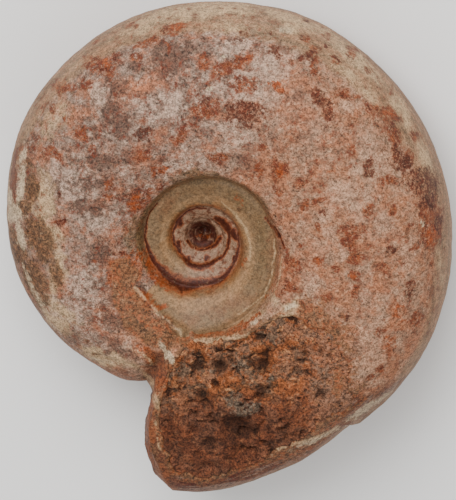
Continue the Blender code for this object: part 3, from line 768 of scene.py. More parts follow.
    (168, -113, 30, 44, 1, 10), (158, -36, 22, 36, 0.9), (199, -69, 26, 30, 0.8), (65, -191, 34, 16, 0.8, 20),
    (-231, 281, 32, 30, 0.9), (-300, 288, 22, 22, 0.8), (225, -48, 40, 44, 0.75), (262, 50, 34, 34, 0.7),
    (199, 29, 26, 30, 0.7), (199, -170, 34, 24, 0.8), (-52, 120, 26, 14, 0.8, 35), (21, 130, 30, 12, 0.7),
), Stain.CREAM: (
    (-338, 61, 19, 50, 1.1), (-317, -15, 17, 25, 1.1, 20), (-296, -69, 11, 34, 0.9, 10),
    (-319, -113, 11, 25, 0.9), (-304, -166, 50, 15, 0.9, -32), (-315, 229, 29, 55, 0.55, -30),
    # The cream oval at (183, 412) is a painted highlight of a glossy spot near the top edge.
    (-300, 262, 17, 25, 0.5, -30), (183, 412, 17, 11, 1.3), (-199, -275, 50, 13, 1.3, -12),
    (-115, -325, 8, 27, 1.1, 22), (-368, 50, 8, 17, 0.8, 20), (-231, -258, 29, 11, 1, -15),
    (94, -187, 46, 13, 0.6, 20), (42, -237, 63, 8, 0.8, 3), (178, -162, 29, 9, 0.8, 32),
    (147, -149, 21, 11, 0.6, 40), (178, -55, 6, 34, 0.4, 10), (11, 456, 126, 19, 1.1, 5),
    (199, 428, 84, 15, 1, -22), (315, 351, 71, 15, 1, -42), (409, 250, 50, 15, 0.9, -58),
    (462, 145, 46, 11, 0.8, -72), (-115, 428, 84, 17, 0.7, 24), (-273, 334, 63, 13, 0.4, 50),
    (-368, -212, 8, 8, 0.5), (494, -86, 8, 52, 0.6, 10), (368, -370, 55, 11, 0.7, 38), (52, 418, 63, 13, 0.6),
    (294, 323, 50, 13, 0.7, -42), (342, 281, 29, 13, 0.7, -48), (-313, -195, 38, 20, 0.8, -38),
    (120, -212, 46, 12, 0.7, 28), (166, -174, 30, 10, 0.6, 38),
), Stain.BROWN: (
    (-365, 82, 15, 27, 1.2), (-382, 44, 15, 15, 1.2), (-344, -19, 25, 42, 1.15, 35),
    (-357, -101, 23, 40, 1.1, 20), (-307, -92, 13, 34, 1, 12), (-403, -21, 11, 27, 1.2, 20),
    (-336, -55, 21, 21, 0.9), (-342, -149, 17, 21, 0.8, 30), (-368, 134, 11, 17, 0.7),
    (-246, -237, 17, 6, 0.6, -20), (-225, -262, 11, 3, 1.2), (72, 41, 6, 6, 0.9), (133, -24, 4, 5, 0.8),
    (-384, -48, 14, 32, 0.9, 15), (-401, -38, 14, 34, 1, 8),
), Stain.WEDGE: (
    (-397, 145, 6, 29, 1.1, -18), (-403, 103, 8, 29, 1.3, -6), (-403, 65, 6, 21, 1.2),
    (-414, -44, 6, 21, 0.8, 15),
), Stain.WHITE: (
    (-416, 71, 9, 29, 1.3, 8), (-401, 31, 17, 17, 1.2, 20), (-384, -15, 7, 25, 1.2, 14),
    (-386, 92, 6, 42, 1.1, -6), (-378, 151, 6, 19, 1, -20), (50, -336, 8, 3, 1.2), (40, 355, 6, 4, 0.6),
    (451, 11, 6, 6, 0.9), (-78, -260, 6, 23, 1.3, 33), (101, -195, 11, 4, 1, 25), (178, -162, 17, 5, 1.1, 30),
    (-221, -275, 42, 3, 0.6, -12), (-336, -233, 11, 3, 0.5, -45), (-346, -149, 6, 29, 0.7, 30),
    (-368, -107, 6, 34, 0.7, 20), (309, -420, 21, 6, 0.6, 28), (334, -386, 34, 8, 0.95, 35),
    (376, -357, 30, 6, 0.85, 38), (237, -442, 54, 7, 0.75, 19), (11, 288, 7, 5, 1.1, 20),
    # The white oval at (166, 409) is a painted highlight of the same glossy spot near the top edge.
    (166, 409, 12, 7, 0.9),
), Stain.OLIVE: (
    (-145, -15, 17, 36, 1.1, -8), (-122, -69, 6, 21, 0.8, -15), (-59, -225, 25, 17, 1.2, -12),
    (-115, -223, 25, 13, 0.8), (-11, 99, 63, 15, 0.9), (73, 69, 34, 17, 1.2, -40), (120, 6, 15, 55, 1.2, 10),
    (120, -69, 17, 46, 1, -15), (-73, 61, 19, 29, 0.5, -30), (-221, -300, 38, 8, 0.8, -15),
    (21, -149, 84, 17, 0.3), (57, -191, 34, 17, 0.5), (-273, 246, 13, 17, 0.5), (-336, 218, 15, 21, 0.5),
    (-11, 107, 50, 11),
)}


class Stroke(Enum):
    """Kinds of drawn line, each carried to the finish as an attribute of its own."""

    GASH = "gash"
    LINE = "pale_line"


# Lines by kind: corners of each, as plan place in tenths and half width in hundredths of a
# millimetre.
STROKES: dict[Stroke, tuple[tuple[tuple[float, float, float], ...], ...]] = {
    Stroke.GASH: (
        ((-122, -26, 21), (-116, -50, 30), (-101, -75, 56), (-83, -94, 80), (-64, -110, 108),
         (-47, -119, 117), (-26, -116, 94), (-3, -113, 75), (18, -111, 70), (37, -103, 52), (51, -87, 33),
         (65, -64, 21), (73, -35, 21), (71, -7, 21)),
        ((4, 44, 13), (-17, 44, 13), (-40, 35, 16), (-57, 18, 21), (-66, -7, 21), (-63, -31, 23),
         (-54, -50, 28), (-40, -66, 42), (-26, -77, 47), (-8, -80, 47), (7, -75, 47), (23, -68, 28),
         (39, -57, 23), (49, -40, 19), (52, -17, 21), (49, 2, 52), (37, 16, 61), (25, 25, 33)),
        ((-38, -26, 19), (-29, -38, 19), (-8, -45, 16), (11, -41, 21), (23, -33, 33), (30, -21, 37)),
        ((-51, 18, 37), (-52, 11, 52)),
        ((-56, -26, 33), (-54, -45, 37)),
        ((-34, -59, 33), (-31, -75, 37)),
        ((4, -60, 47), (2, -64, 33)),
        ((59, -5, 47), (65, -19, 52)),
        ((62, -57, 21), (60, -71, 21)),
        ((-99, 54, 14), (-115, 35, 16), (-122, 11, 19), (-124, -17, 19), (-121, -38, 21),
         (-113, -59, 23)),
        ((126, 23, 16), (145, 0, 21), (159, -21, 19), (165, -40, 14)),
        ((114, -175, 21), (115, -176, 21)),
    ),
    Stroke.LINE: (
        ((35, 56, 21), (65, 32, 30), (81, 11, 33), (91, -12, 28), (95, -35, 23), (94, -64, 19)),
        ((145, -21, 13), (145, -54, 13), (138, -101, 14), (121, -141, 14), (91, -164, 14),
         (63, -183, 13)),
        ((158, -59, 13), (154, -101, 13), (142, -141, 13)),
        ((-146, -120, 24), (-137, -134, 35), (-127, -145, 24)),
        ((-113, -159, 21), (-104, -171, 31), (-98, -180, 21)),
        ((-92, -184, 14), (-74, -194, 17)),
        ((-66, -202, 14), (-53, -207, 14), (-41, -219, 17)),
        ((-167, -241, 14), (-147, -251, 14), (-127, -260, 17), (-116, -274, 21), (-112, -287, 17),
         (-137, -285, 14), (-172, -278, 13), (-207, -267, 13), (-235, -256, 13)),
        ((-127, -305, 28), (-113, -326, 45), (-104, -350, 52), (-95, -375, 42)),
        ((-92, -376, 24), (-71, -355, 28), (-60, -329, 24), (-56, -305, 17)),
        ((-107, -389, 14), (-102, -416, 14), (-97, -451, 14), (-85, -479, 14)),
        ((-19, -237, 35), (23, -235, 49), (72, -225, 56), (107, -221, 56), (142, -198, 63),
         (176, -180, 70), (189, -162, 49)),
        ((281, -423, 28), (262, -430, 31), (211, -444, 28), (169, -455, 21), (107, -480, 14)),
    ),
}


@dataclass(frozen=True)
class Markings:
    """Where each kind of stain, painted highlight and painted shade lies on the stone."""

    rim_start: float = 0.925
    rim_full: float = 0.975
    halo_width: float = 0.16
    # The next two set where the painted highlight along each inner whorl's crest lies and how wide it is, in
    # shares of a whorl.
    crest_highlight_place: float = 0.62
    crest_width: float = 0.15
    wall_start: float = -0.26
    wall_full: float = -0.07
    turn_start: float = 222.0
    bare_wall: Places = (
        (-14.3, -12.6), (-12.8, -14.7), (-11.3, -16.2), (-9.2, -18.3), (-7.4, -19.7), (-5.0, -20.8),
        (-2.7, -22.5), (4.2, -22.6), (4.2, -12.0), (-4.0, -12.8), (-7.0, -11.6), (-9.5, -9.9),
        (-12.0, -10.5))
    warp: Places = ((4.0, 0.55), (1.7, 0.6), (0.8, 0.35))
    face: Places = (
        (-5.5, -27.0), (-12.4, -25.4), (-12.0, -29.4), (-14.3, -33.4), (-12.0, -37.0), (-14.0, -42.0),
        (-13.0, -50.0), (-6.0, -58.0), (2.0, -57.0), (0.5, -50.5), (-3.9, -48.8), (-5.8, -46.0),
        (-7.9, -41.0), (-7.5, -35.9), (-6.0, -32.8))
    soil: Places = (
        (-19.5, -6.9), (-16.6, -5.7), (-13.7, -9.7), (-14.7, -12.0), (-10.5, -17.6), (-5.3, -21.0),
        (-2.5, -23.2), (-4.6, -24.4), (-8.4, -25.0), (-13.7, -24.3), (-16.2, -20.5), (-18.3, -14.9))
    # Outline of the band along the lower edge under the sandstone, which is painted darker as shade.
    shaded_under_rim: Places = (
        (-5.9, -50.8), (-1.1, -52.7), (11.6, -48.9), (22.0, -42.6), (30.5, -35.9), (36.0, -34.0),
        (43.0, -30.0), (46.0, -36.0), (30.0, -52.0), (8.0, -60.0), (-6.0, -60.0))

    def ovals(self, kind: Stain, plan: Plan) -> Array:
        """Greatest cover of the ovals of one kind, at plan coordinates."""
        return np.max([Oval(*values).cover(plan) for values in STAINS[kind]], axis=0)

    def strokes(self, kind: Stroke, plan: Plan) -> Array:
        """Greatest of the lines of one kind, each 2 to the minus square of the distance over
        the half width there, which runs evenly from corner to corner.

        Args:
            kind: the kind of line.
            plan: plan coordinates of each place.

        Returns:
            One value for each place.
        """
        cover = np.zeros_like(plan[0])
        for corners in STROKES[kind]:
            path = [(right / 10.0, up / 10.0, half / 100.0) for right, up, half in corners]
            for start, end in zip(path, path[1:]):
                away, share = nearest_on_line(plan, start, end)
                width = start[2] + share * (end[2] - start[2])
                cover = np.maximum(cover, 2.0 ** -(away / width) ** 2)
        return cover

    def umbilicus(self, coil: Coil, points: Array) -> dict[str, Array]:
        """How far each place is wall, glazed inner whorl, halo, chalky crust or dark middle.

        The whorl number is the logarithm of the seam's radius over the place's radius, to the
        base of the growth per turn: 0 on the last whorl's own seam, 1 one whorl further in. A
        halo is a bell curve about each whole number, and a crest, a painted highlight along each
        inner whorl's rounded crest, is one past each half. The age is the place's bearing plus a
        full turn for each whorl further in, so it runs on along the tube of the shell.

        Args:
            coil: the ideal shell.
            points: places on it.

        Returns:
            Values from 0 to 1, by attribute.
        """
        bearing, radius = polar(points)
        bearing = np.where(bearing < self.turn_start, bearing + TURN, bearing)
        radius = np.maximum(radius, 0.05)
        whorl = np.log(coil.seam_radius(bearing) / radius) / math.log(coil.seam_growth)
        upper = smooth_step(-2.0, 0.0, points[..., 2])
        age = bearing + TURN * np.ceil(whorl)
        before_mouth = bearing < coil.mouth_bearing - 3.0
        wall = smooth_step(-0.4, 0.4, distance_inside(coil.plan_of(points), self.bare_wall))
        glaze = np.where(before_mouth, np.maximum(wall, smooth_step(0.86, 1.02, whorl)),
                         smooth_step(-0.10, 0.02, whorl))
        near = whorl - np.round(whorl)
        real = smooth_step(-0.3, -0.1, whorl) * np.where(before_mouth & (whorl < 0.5), 0.0, 1.0)
        inwards = whorl % 1.0
        way = bearing % TURN
        # The wall band is full on the upper and left side (bearings 45 to 205) and weak elsewhere. On that
        # side it is painted shade, where the wall faces away from the light, laid over the wall's own colour.
        side = 0.35 + 0.65 * smooth_step(25.0, 45.0, way) * (1.0 - smooth_step(205.0, 225.0, way))
        return {
            "glaze": glaze * upper,
            "wall": upper * side * smooth_step(self.wall_start, self.wall_full, whorl) * (1.0 - glaze),
            "outer_band": upper * (1.0 - smooth_step(0.35, 0.62, inwards)),
            # crest: painted highlight along the rounded crest of each inner whorl.
            "crest": upper * bell(inwards - self.crest_highlight_place, self.crest_width),
            "halo": real * upper * smooth_step(0.2, 0.7, whorl) * bell(near, self.halo_width),
            "crust": upper * smooth_step(935.0, 1000.0, age) * smooth_step(2.9, 3.4, radius),
            "core": upper * (1.0 - smooth_step(2.7, 3.7, radius)),
        }

    def rim(self, coil: Coil, points: Array) -> Array:
        """The smooth outer edge, fading inwards over the named shares of its radius.

        Args:
            coil: the ideal shell.
            points: places on it.

        Returns:
            1 on the edge, 0 well inside it.
        """
        bearing, radius = polar(points)
        bearing = np.where(bearing < coil.mouth_bearing, bearing + TURN, bearing)
        return smooth_step(self.rim_start, self.rim_full, radius / coil.edge_radius(bearing))

    def all(self, stone: "Stone", points: Array, facing: Array, on_mouth: Array) -> dict[str, Array]:
        """Every attribute of the shell.

        Most ovals are looked up at places shifted by noise, so that their outlines wander.

        Args:
            stone: the stone, for its coil and its weathering.
            points: places on the ideal shell.
            facing: 1 where the surface is seen from above.
            on_mouth: 1 on the broken mouth.

        Returns:
            One value for each place, by attribute.
        """
        coil = stone.coil
        across, along = plan = coil.plan_of(points)
        shifted = [side + layered_noise(points, self.warp, seed) for side, seed in zip(plan, (91, 95))]
        layers = {kind.value: facing * self.ovals(kind, plan if kind in SHARP_STAINS else shifted)
                  for kind in Stain}
        wavy = 0.25 * lattice_noise(points, 1.4, 98)
        for kind in Stroke:
            layers[kind.value] = facing * self.strokes(kind, (across + wavy, along + wavy))
        layers.update(self.umbilicus(coil, points))
        layers["rim"] = self.rim(coil, points)
        face = distance_inside(plan, self.face) + layered_noise(points, ((2.5, 0.5),), 97)
        layers["face"] = np.maximum(on_mouth, smooth_step(-0.8, 0.8, face) * facing)
        # Band under the sandstone along the lower edge: painted shade.
        under = distance_inside(plan, self.shaded_under_rim)
        layers["shaded_under_rim"] = smooth_step(-0.5, 0.8, under) * facing
        soil = distance_inside(plan, self.soil) + layered_noise(points, ((3.0, 1.2),), 99)
        layers["soil"] = smooth_step(-1.5, 1.0, soil) * facing
        inset = stone.weathering.sandstone_inset(coil, points)
        fade = 1.8 + 8.0 * smooth_step(12.0, 24.0, across)
        bare = smooth_step(21.0, 36.0, across + layered_noise(points, ((5.0, 4.0), (2.0, 2.5)), 101))
        sandy = smooth_step(-1.0, -0.05, inset / fade) * (1.0 - 0.6 * bare)
        layers["sandy"] = facing * sandy
        layers["left_side"] = smooth_step(16.0, -18.0, 0.9 * across - 0.5 * along) * facing
        return layers


# --- pieces -----------------------------------------------------------------------------------

def normals_of(points: Array, closed: bool) -> Array:
    """Outward unit normals of a grid: the cross product of its steps across and around.

    Args:
        points: places by column and row.
        closed: whether the last column is followed by the first.

    Returns:
        One unit vector for each place.
    """
    if closed:
        around = np.roll(points, -1, axis=0) - np.roll(points, 1, axis=0)
    else:
        around = np.gradient(points, axis=0)
    normals = np.cross(np.gradient(points, axis=1), around)
    return normals / np.maximum(np.linalg.norm(normals, axis=-1, keepdims=True), 1e-9)


def new_mesh(name: str, places: Array, triangles: Array, layers: dict[str, Array]) -> bpy.types.Object:
    """Puts places, triangles and attributes into a new object at the origin.

    Args:
        name: name of the object and of its mesh.
        places: one place for each corner, millimetres.
        triangles: three corner numbers for each triangle, counterclockwise from outside.
        layers: attributes, one value for each corner.

    Returns:
        The object, linked to the scene.
    """
    mesh = bpy.data.meshes.new(name)
    mesh.vertices.add(len(places))
    mesh.vertices.foreach_set("co", (places * MM).astype(np.float32).ravel())
    mesh.loops.add(triangles.size)
    mesh.loops.foreach_set("vertex_index", triangles.astype(np.int32).ravel())
    mesh.polygons.add(len(triangles))
    mesh.polygons.foreach_set("loop_start", np.arange(0, triangles.size, 3, dtype=np.int32))
    mesh.update(calc_edges=True)
    mesh.validate()
    for layer, values in layers.items():
        attribute = mesh.attributes.new(layer, "FLOAT", "POINT")
        attribute.data.foreach_set("value", values.astype(np.float32))
    mesh.shade_smooth()
    thing = bpy.data.objects.new(name, mesh)
    bpy.context.scene.collection.objects.link(thing)
    return thing


def cells_of(numbers: Array) -> Array:
    """Two triangles for each cell of a grid.

    Args:
        numbers: corner numbers by column and row.

    Returns:
        Three corner numbers for each triangle.
    """
    near, beside = numbers[:-1, :-1], numbers[:-1, 1:]
    behind, opposite = numbers[1:, :-1], numbers[1:, 1:]
    first = np.stack([near, beside, opposite], axis=-1)
    second = np.stack([near, opposite, behind], axis=-1)
    return np.concatenate([first.reshape(-1, 3), second.reshape(-1, 3)])


@dataclass
class Stone:
    """The frame that all pieces share: the coil, its weathering and how it lies."""

    coil: Coil = field(default_factory=Coil)
    weathering: Weathering = field(default_factory=Weathering)
    markings: Markings = field(default_factory=Markings)
    offset: Array = field(default_factory=lambda: np.zeros(3))

    def settle(self, points: Array) -> None:
        """Finds the shift that centres the leaned stone and sinks it by its worn flat.

        Args:
            points: all its places in the coil's own frame.
        """
        leaned = self.coil.leaned(points).reshape(-1, 3)
        low, high = leaned.min(axis=0), leaned.max(axis=0)
        middle = (low + high) / 2.0
        self.offset = np.array([-middle[0], -middle[1], -low[2] - self.coil.worn_flat])

    def placed(self, points: Array) -> Array:
        """Leans, shifts and clips places to the box of the solid, resting face included.

        Args:
            points: places in the coil's own frame, millimetres.

        Returns:
            Places in the model, millimetres.
        """
        low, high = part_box("ammonite")
        places = self.coil.leaned(points) + self.offset
        return np.clip(places, np.array(low) / MM, np.array(high) / MM)

    def facing(self, normals: Array) -> Array:
        """1 where the surface faces the eye of the plan, fading to 0 as it turns away."""
        sight, _, _ = self.coil.sight_axes()
        return smooth_step(0.0, 0.35, normals @ sight)


@dataclass
class Shell:
    """The whole closed surface of the fossil, apart from the sandstone set into it."""

    stone: Stone
    umbilicus_rows: int = 58
    flank_rows: int = 100
    under_flank_rows: int = 28
    under_umbilicus_rows: int = 8
    mouth_columns: int = 36
    spans: tuple[tuple[float, int], ...] = ((336.0, 100), (510.0, 168), (610.0, 206))
    trench_depth: float = 5.0
    trench_edge: float = 1.1
    crest_height: float = 0.22
    crest_width: float = 0.38
    lip_height: float = 0.16
    lip_width: float = 0.4
    broken_relief: Places = ((2.6, 0.28), (1.3, 0.16), (0.7, 0.08))
    wear: Places = ((3.4, 0.07), (1.6, 0.06), (0.9, 0.035))

    def ideal(self) -> Array:
        """Ideal places of the whole stone.

        Returns:
            Places by column and row, from the upper pole to the lower one.
        """
        coil, start, parts = self.stone.coil, self.stone.coil.mouth_bearing, []
        for end, count in self.spans:
            parts.append(np.linspace(start, end, count + 1)[:-1])
            start = end
        bearings = np.concatenate([*parts, [start]])
        upper = coil.half_sheet(bearings, self.umbilicus_rows, self.flank_rows, self.mouth_columns)
        under = coil.half_sheet(bearings, self.under_umbilicus_rows, self.under_flank_rows,
                                self.mouth_columns) * np.array([1.0, 1.0, -1.0])
        points = np.concatenate([upper, under[:, -2::-1]], axis=1)
        poles = np.zeros((len(points), 1, 3))
        poles[..., 2] = coil.apex_height
        return np.concatenate([poles, points, -poles], axis=1)

    def fine_relief(self, points: Array, facing: Array) -> Array:
        """Height of what only the shell shows: wear, the broken crest, the lip, and the trench.

        The crest is a narrow bell along the ridge, broken by noise; the lip is a narrow bell
        along the rim of the tongue; the trench drops under the sandstone inside its rim.

        Args:
            points: places on the ideal shell.
            facing: 1 where the surface is seen from above.

        Returns:
            Millimetres along the outward normal.
        """
        coil, weathering = self.stone.coil, self.stone.weathering
        plan = coil.plan_of(points)
        height = layered_noise(points, self.wear, 51)
        ridge = distance_to_path(plan, weathering.ridge)
        broken = 0.5 + 0.8 * lattice_noise(points, 1.6, 61)
        height += facing * self.crest_height * broken * bell(ridge, self.crest_width)
        lip = np.abs(distance_inside(plan, weathering.tongue))
        right_side = smooth_step(-23.0, -20.0, plan[0])
        height += facing * right_side * self.lip_height * bell(lip, self.lip_width)
        inset = weathering.sandstone_inset(coil, points)
        shallow = 1.0 - 0.92 * smooth_step(*weathering.patchy, plan[0])
        return height - facing * self.trench_depth * shallow * smooth_step(0.0, self.trench_edge, inset)

    def build(self) -> bpy.types.Object:
        """Builds the closed sheet: the ideal places moved along their normals by the relief.

        Returns:
            The object.
        """
        stone = self.stone
        points = self.ideal()
        normals = normals_of(points, closed=True)
        normals[:, 0], normals[:, -1] = (0.0, 0.0, 1.0), (0.0, 0.0, -1.0)
        facing = stone.facing(normals)
        rise = np.arange(1, self.mouth_columns + 1) / (self.mouth_columns + 1)
        on_mouth = np.zeros(points.shape[:2])
        on_mouth[-self.mouth_columns:, 1 + self.umbilicus_rows:-1 - self.under_umbilicus_rows] = (
            np.clip(8.0 * np.minimum(rise, 1.0 - rise), 0.0, 1.0)[:, None])
        relief = stone.weathering.broad(stone.coil, points, facing, on_mouth, False)
        layers = stone.markings.all(stone, points, facing, on_mouth)
        full = points + normals * relief[..., None]
        full = stone.weathering.chipped(full)
        stone.settle(full)
        fine = self.fine_relief(points, facing)
        fine += on_mouth * layered_noise(points, self.broken_relief, 55)
        full = full + normals * fine[..., None]
        return self.closed(stone.placed(full), layers)

    def closed(self, places: Array, layers: dict[str, Array]) -> bpy.types.Object:
        """Joins the grid's last column to its first and each pole row to one corner.

        Args:
            places: places in the model by column and row.
            layers: attributes by column and row.

        Returns:
            The object.
        """
        columns, rows = places.shape[:2]
        ring = rows - 2
        numbers = np.arange(columns * ring).reshape(columns, ring)
        wrapped = np.concatenate([numbers, numbers[:1]])
        top, bottom = columns * ring, columns * ring + 1
        first, following = wrapped[:-1], wrapped[1:]
        caps = [np.stack([np.full(columns, top), first[:, 0], following[:, 0]], axis=-1),
                np.stack([np.full(columns, bottom), following[:, -1], first[:, -1]], axis=-1)]
        triangles = np.concatenate([cells_of(wrapped), *caps])
        inside = places[:, 1:-1].reshape(-1, 3)
        poles = places[:, [0, -1]].mean(axis=0)
        flat = {name: np.concatenate([values[:, 1:-1].ravel(), values[:, [0, -1]].mean(axis=0)])
                for name, values in layers.items()}
        return new_mesh("shell", np.concatenate([inside, poles]), triangles, flat)


@dataclass
class ChamberSandstone:
    """Rough sandstone in the broken living chamber, a dense sheet with real grains."""

    stone: Stone
    columns: int = 255
    last_bearing: float = 336.0
    face_columns: int = 120
    face_kept: int = 36
    rows: int = 322
    last_share: float = 0.93
    anchor: tuple[float, float, float] = (10.0, -36.0, 2.0)
    dip: float = 2.6
    clump_size: float = 2.4
    clump_height: float = 0.75
    crevice_depth: float = 0.7
    grains: Places = ((1.05, 0.42), (0.58, 0.30))
    crystals: tuple[tuple[float, float, float], ...] = (
        (6.9, -28.8, 1.9), (5.8, -35.8, 1.9), (7.6, -38.4, 1.7), (13.6, -31.2, 1.3),
        (10.4, -37.4, 1.5), (1.5, -29.8, 1.0))
    pit_size: float = 3.1
    pit_depth: float = 1.5

    def ideal(self) -> Array:
        """Ideal places from the upper part of the broken face to the last bearing.

        Returns:
            Places by column and row.
        """
        coil = self.stone.coil
        bearings = np.concatenate([np.linspace(coil.mouth_bearing, self.last_bearing, self.columns),
                                   [coil.foot_bearing]])
        sheet = coil.half_sheet(bearings, 4, self.rows, self.face_columns)
        kept = np.concatenate([sheet[-self.face_kept:], sheet[:self.columns]])
        return kept[:, 4:4 + int(self.rows * self.last_share)]

    def grain(self, points: Array) -> tuple[Array, ...]:
        """Clumps of cemented sand with crevices between them, and grains on the clumps.

        In each cell a round dome rises: 0.55 less the square of the distance, taller for a
        higher random value. Crevices run where the distance to the nearest clump is greatest.
        The places are first shifted by noise, so that no outline is regular.

        Args:
            points: places on the ideal surface, millimetres.

        Returns:
            The height in millimetres, how far each place is in a crevice, and the random values
            of its clump and of its smallest grain.
        """
        shifted = points + 0.55 * np.stack([lattice_noise(points @ TUMBLE, 1.1, seed)
                                            for seed in (76, 77, 78)], axis=-1)
        away, clump = cell_noise(shifted, self.clump_size, 75)
        crevice = smooth_step(0.62, 0.92, away)
        height = self.clump_height * (0.4 + clump) * (0.5 - away ** 2) - self.crevice_depth * crevice
        for number, (size, tall) in enumerate(self.grains):
            away, value = cell_noise(shifted, size, 71 + number)
            height += tall * (0.4 + 1.1 * value) * (0.55 - away ** 2)
        return height, crevice, clump, value

    def pits(self, points: Array) -> Array:
        """One cell in six has a ragged hole about its jittered point.

        Args:
            points: places on the ideal surface.

        Returns:
            Depth share of the hole, from 0 to 1.
        """
        away, value = cell_noise(points + 0.4 * lattice_noise(points, 0.9, 88)[..., None],
                                 self.pit_size, 85)
        hole = 1.0 - smooth_step(0.12, 0.42, away + 0.10 * lattice_noise(points, 0.5, 87))
        return hole * smooth_step(0.80, 0.86, value)

    def build(self) -> bpy.types.Object:
        """Builds the sheet, dips its edges under the shell and closes it to a point inside.

        Returns:
            The object.
        """
        stone, weathering = self.stone, self.stone.weathering
        points = self.ideal()
        normals = normals_of(points, closed=False)
        facing = stone.facing(normals)
        to_lip = np.arange(self.face_kept, 0, -1) / (self.face_columns + 1)
        on_mouth = np.zeros(points.shape[:2])
        on_mouth[:self.face_kept] = np.clip(8.0 * to_lip, 0.0, 1.0)[:, None]
        inset = weathering.sandstone_inset(stone.coil, points)
        inside = smooth_step(-0.9, 0.5, inset)
        across, along = plan = stone.coil.plan_of(points)
        smooth_low = smooth_step(-40.0, -47.0, along) * smooth_step(8.0, 2.0, across)
        calm = (1.0 - 0.5 * smooth_step(14.0, 30.0, across)) * (1.0 - 0.65 * smooth_low)
        # Deep knob pits, painted dark as shade.
        pit_shade = sum(bell(np.hypot(across - knob.across, along - knob.along), 0.95 * knob.radius)
                        for knob in weathering.knobs if knob.lift < -1.1 and knob.radius < 3.2)
        pits = self.pits(points) * calm * (1.0 - 0.6 * smooth_step(13.0, 24.0, across))
        grain, crevice, clump, tone = self.grain(points)
        height = weathering.broad(stone.coil, points, facing, on_mouth, True)
        height += inside * (calm * grain - self.pit_depth * pits)
        height -= self.dip * (1.0 - inside)
        layers = {Stain.WHITE.value: stone.markings.ovals(Stain.WHITE, plan)}
        # The first attribute is painted shade in the pits, knob pits and crevices. The second is the grain's
        # height, which the finish darkens as painted shade where it is low.
        layers["hollow"] = np.clip(pits + 1.3 * pit_shade + 0.7 * crevice * calm, 0.0, 1.0)
        layers["grain"] = np.clip(0.5 + 0.7 * grain, 0.0, 1.0)
        layers["clump_tone"], layers["grain_tone"] = clump, tone
        layers["low_part"] = smooth_step(-28.0, -42.0, along)
        layers["right_part"] = smooth_step(8.0, 30.0, across)
        layers["crystals"] = sum(bell(np.hypot(across - right, along - up), size)
                                 for right, up, size in self.crystals)
        shaped = weathering.chipped(points + normals * height[..., None])
        return self.closed(stone.placed(shaped), stone.placed(np.array(self.anchor)), layers)

    def closed(self, places: Array, anchor: Array, layers: dict[str, Array]) -> bpy.types.Object:
        """Adds a fan of triangles from the sheet's border to the anchor inside the stone.

        Args:
            places: places in the model by column and row.
            anchor: the point inside.
            layers: attributes by column and row.

        Returns:
            The object.
        """
        columns, rows = places.shape[:2]
        numbers = np.arange(columns * rows).reshape(columns, rows)
        border = np.concatenate([numbers[:-1, 0], numbers[-1, :-1], numbers[:0:-1, -1],
                                 numbers[0, :0:-1]])
        tip = columns * rows
        fan = np.stack([np.roll(border, -1), np.full(len(border), tip), border], axis=-1)
        triangles = np.concatenate([cells_of(numbers), fan])
        flat = {name: np.append(values.ravel(), 0.0) for name, values in layers.items()}
        return new_mesh("chamber_sandstone", np.concatenate([places.reshape(-1, 3), anchor[None]]),
                        triangles, flat)


# --- finishes ---------------------------------------------------------------------------------

class Edge(NamedTuple):
    """How the edge of a coat runs: size of its lumps in millimetres, raggedness, softness."""

    size: float
    raggedness: float
    softness: float


def rgba(colour: object) -> object:
    """Gives a plain colour its fourth value and passes a socket through."""
    return (*colour, 1.0) if isinstance(colour, tuple) else colour


def new_material(name: str, roughness: float) -> tuple[bpy.types.Material, bpy.types.Node]:
    """Starts a dull material.

    Args:
        name: the material's name.
        roughness: roughness of its shader, where nothing is joined to it.

    Returns:
        The material and its shader.
    """
    material = bpy.data.materials.new(name)
    material.use_nodes = True
    shader = material.node_tree.nodes["Principled BSDF"]
    shader.inputs["Roughness"].default_value = roughness
    shader.inputs["Specular IOR Level"].default_value = 0.22
    return material, shader


class Wiring:
    """Adds nodes to a tree, joins them and hands back their output sockets."""

    def __init__(self, tree: Tree) -> None:
        """Takes the tree that the nodes go into; its noises are read at the place."""
        self.tree = tree
        self.place: Socket = None

    def node(self, kind: str, inputs: dict, **settings: object) -> bpy.types.Node:
        """Adds one node.

        Args:
            kind: Blender's name for the node.
            inputs: a socket to join or a value to set, by input name or number.
            settings: properties of the node itself, set first.

        Returns:
            The node.
        """
        node = self.tree.nodes.new(kind)
        for name, value in settings.items():
            setattr(node, name, value)
        for name, value in inputs.items():
            if isinstance(value, bpy.types.NodeSocket):
                self.tree.links.new(value, node.inputs[name])
            else:
                node.inputs[name].default_value = value
        return node

    def math(self, operation: str, first: object, second: object = 0.0, clamp: bool = False) -> Socket:
        """One step of arithmetic on two values."""
        return self.node("ShaderNodeMath", {0: first, 1: second}, operation=operation,
                         use_clamp=clamp).outputs[0]

    def times(self, first: object, second: object) -> Socket:
        """Product of two values."""
        return self.math("MULTIPLY", first, second)

    def blend(self, share: object, first: object, second: object, mode: str = "MIX") -> Socket:
        """Mixes two colours by a share from 0 to 1."""
        return self.node("ShaderNodeMix", {0: share, 6: rgba(first), 7: rgba(second)},
                         data_type="RGBA", blend_type=mode).outputs[2]

    def ramp(self, value: object, low: object, high: object, to_low: float = 0.0,
             to_high: float = 1.0) -> Socket:
        """Maps a value from one span to another with level ends."""
        return self.node("ShaderNodeMapRange", {0: value, 1: low, 2: high, 3: to_low, 4: to_high},
                         interpolation_type="SMOOTHSTEP").outputs[0]

    def noise(self, size: float, detail: float = 4.0, roughness: float = 0.6) -> Socket:
        """Fractal noise about 0.5, its coarsest lumps of a size in millimetres."""
        return self.noise_at(self.place, 1.0 / (size * MM), detail, roughness)

    def noise_at(self, place: Socket, frequency: object, detail: float, roughness: float) -> Socket:
        """Fractal noise about 0.5 at a place, with so many of its coarsest lumps to the metre."""
        return self.node("ShaderNodeTexNoise", {"Vector": place, "Scale": frequency, "Detail": detail,
                                                "Roughness": roughness}).outputs[0]

    def attribute(self, name: str | Enum) -> Socket:
        """Value of one of the piece's attributes."""
        name = name.value if isinstance(name, Enum) else name
        return self.node("ShaderNodeAttribute", {}, attribute_name=name).outputs["Fac"]


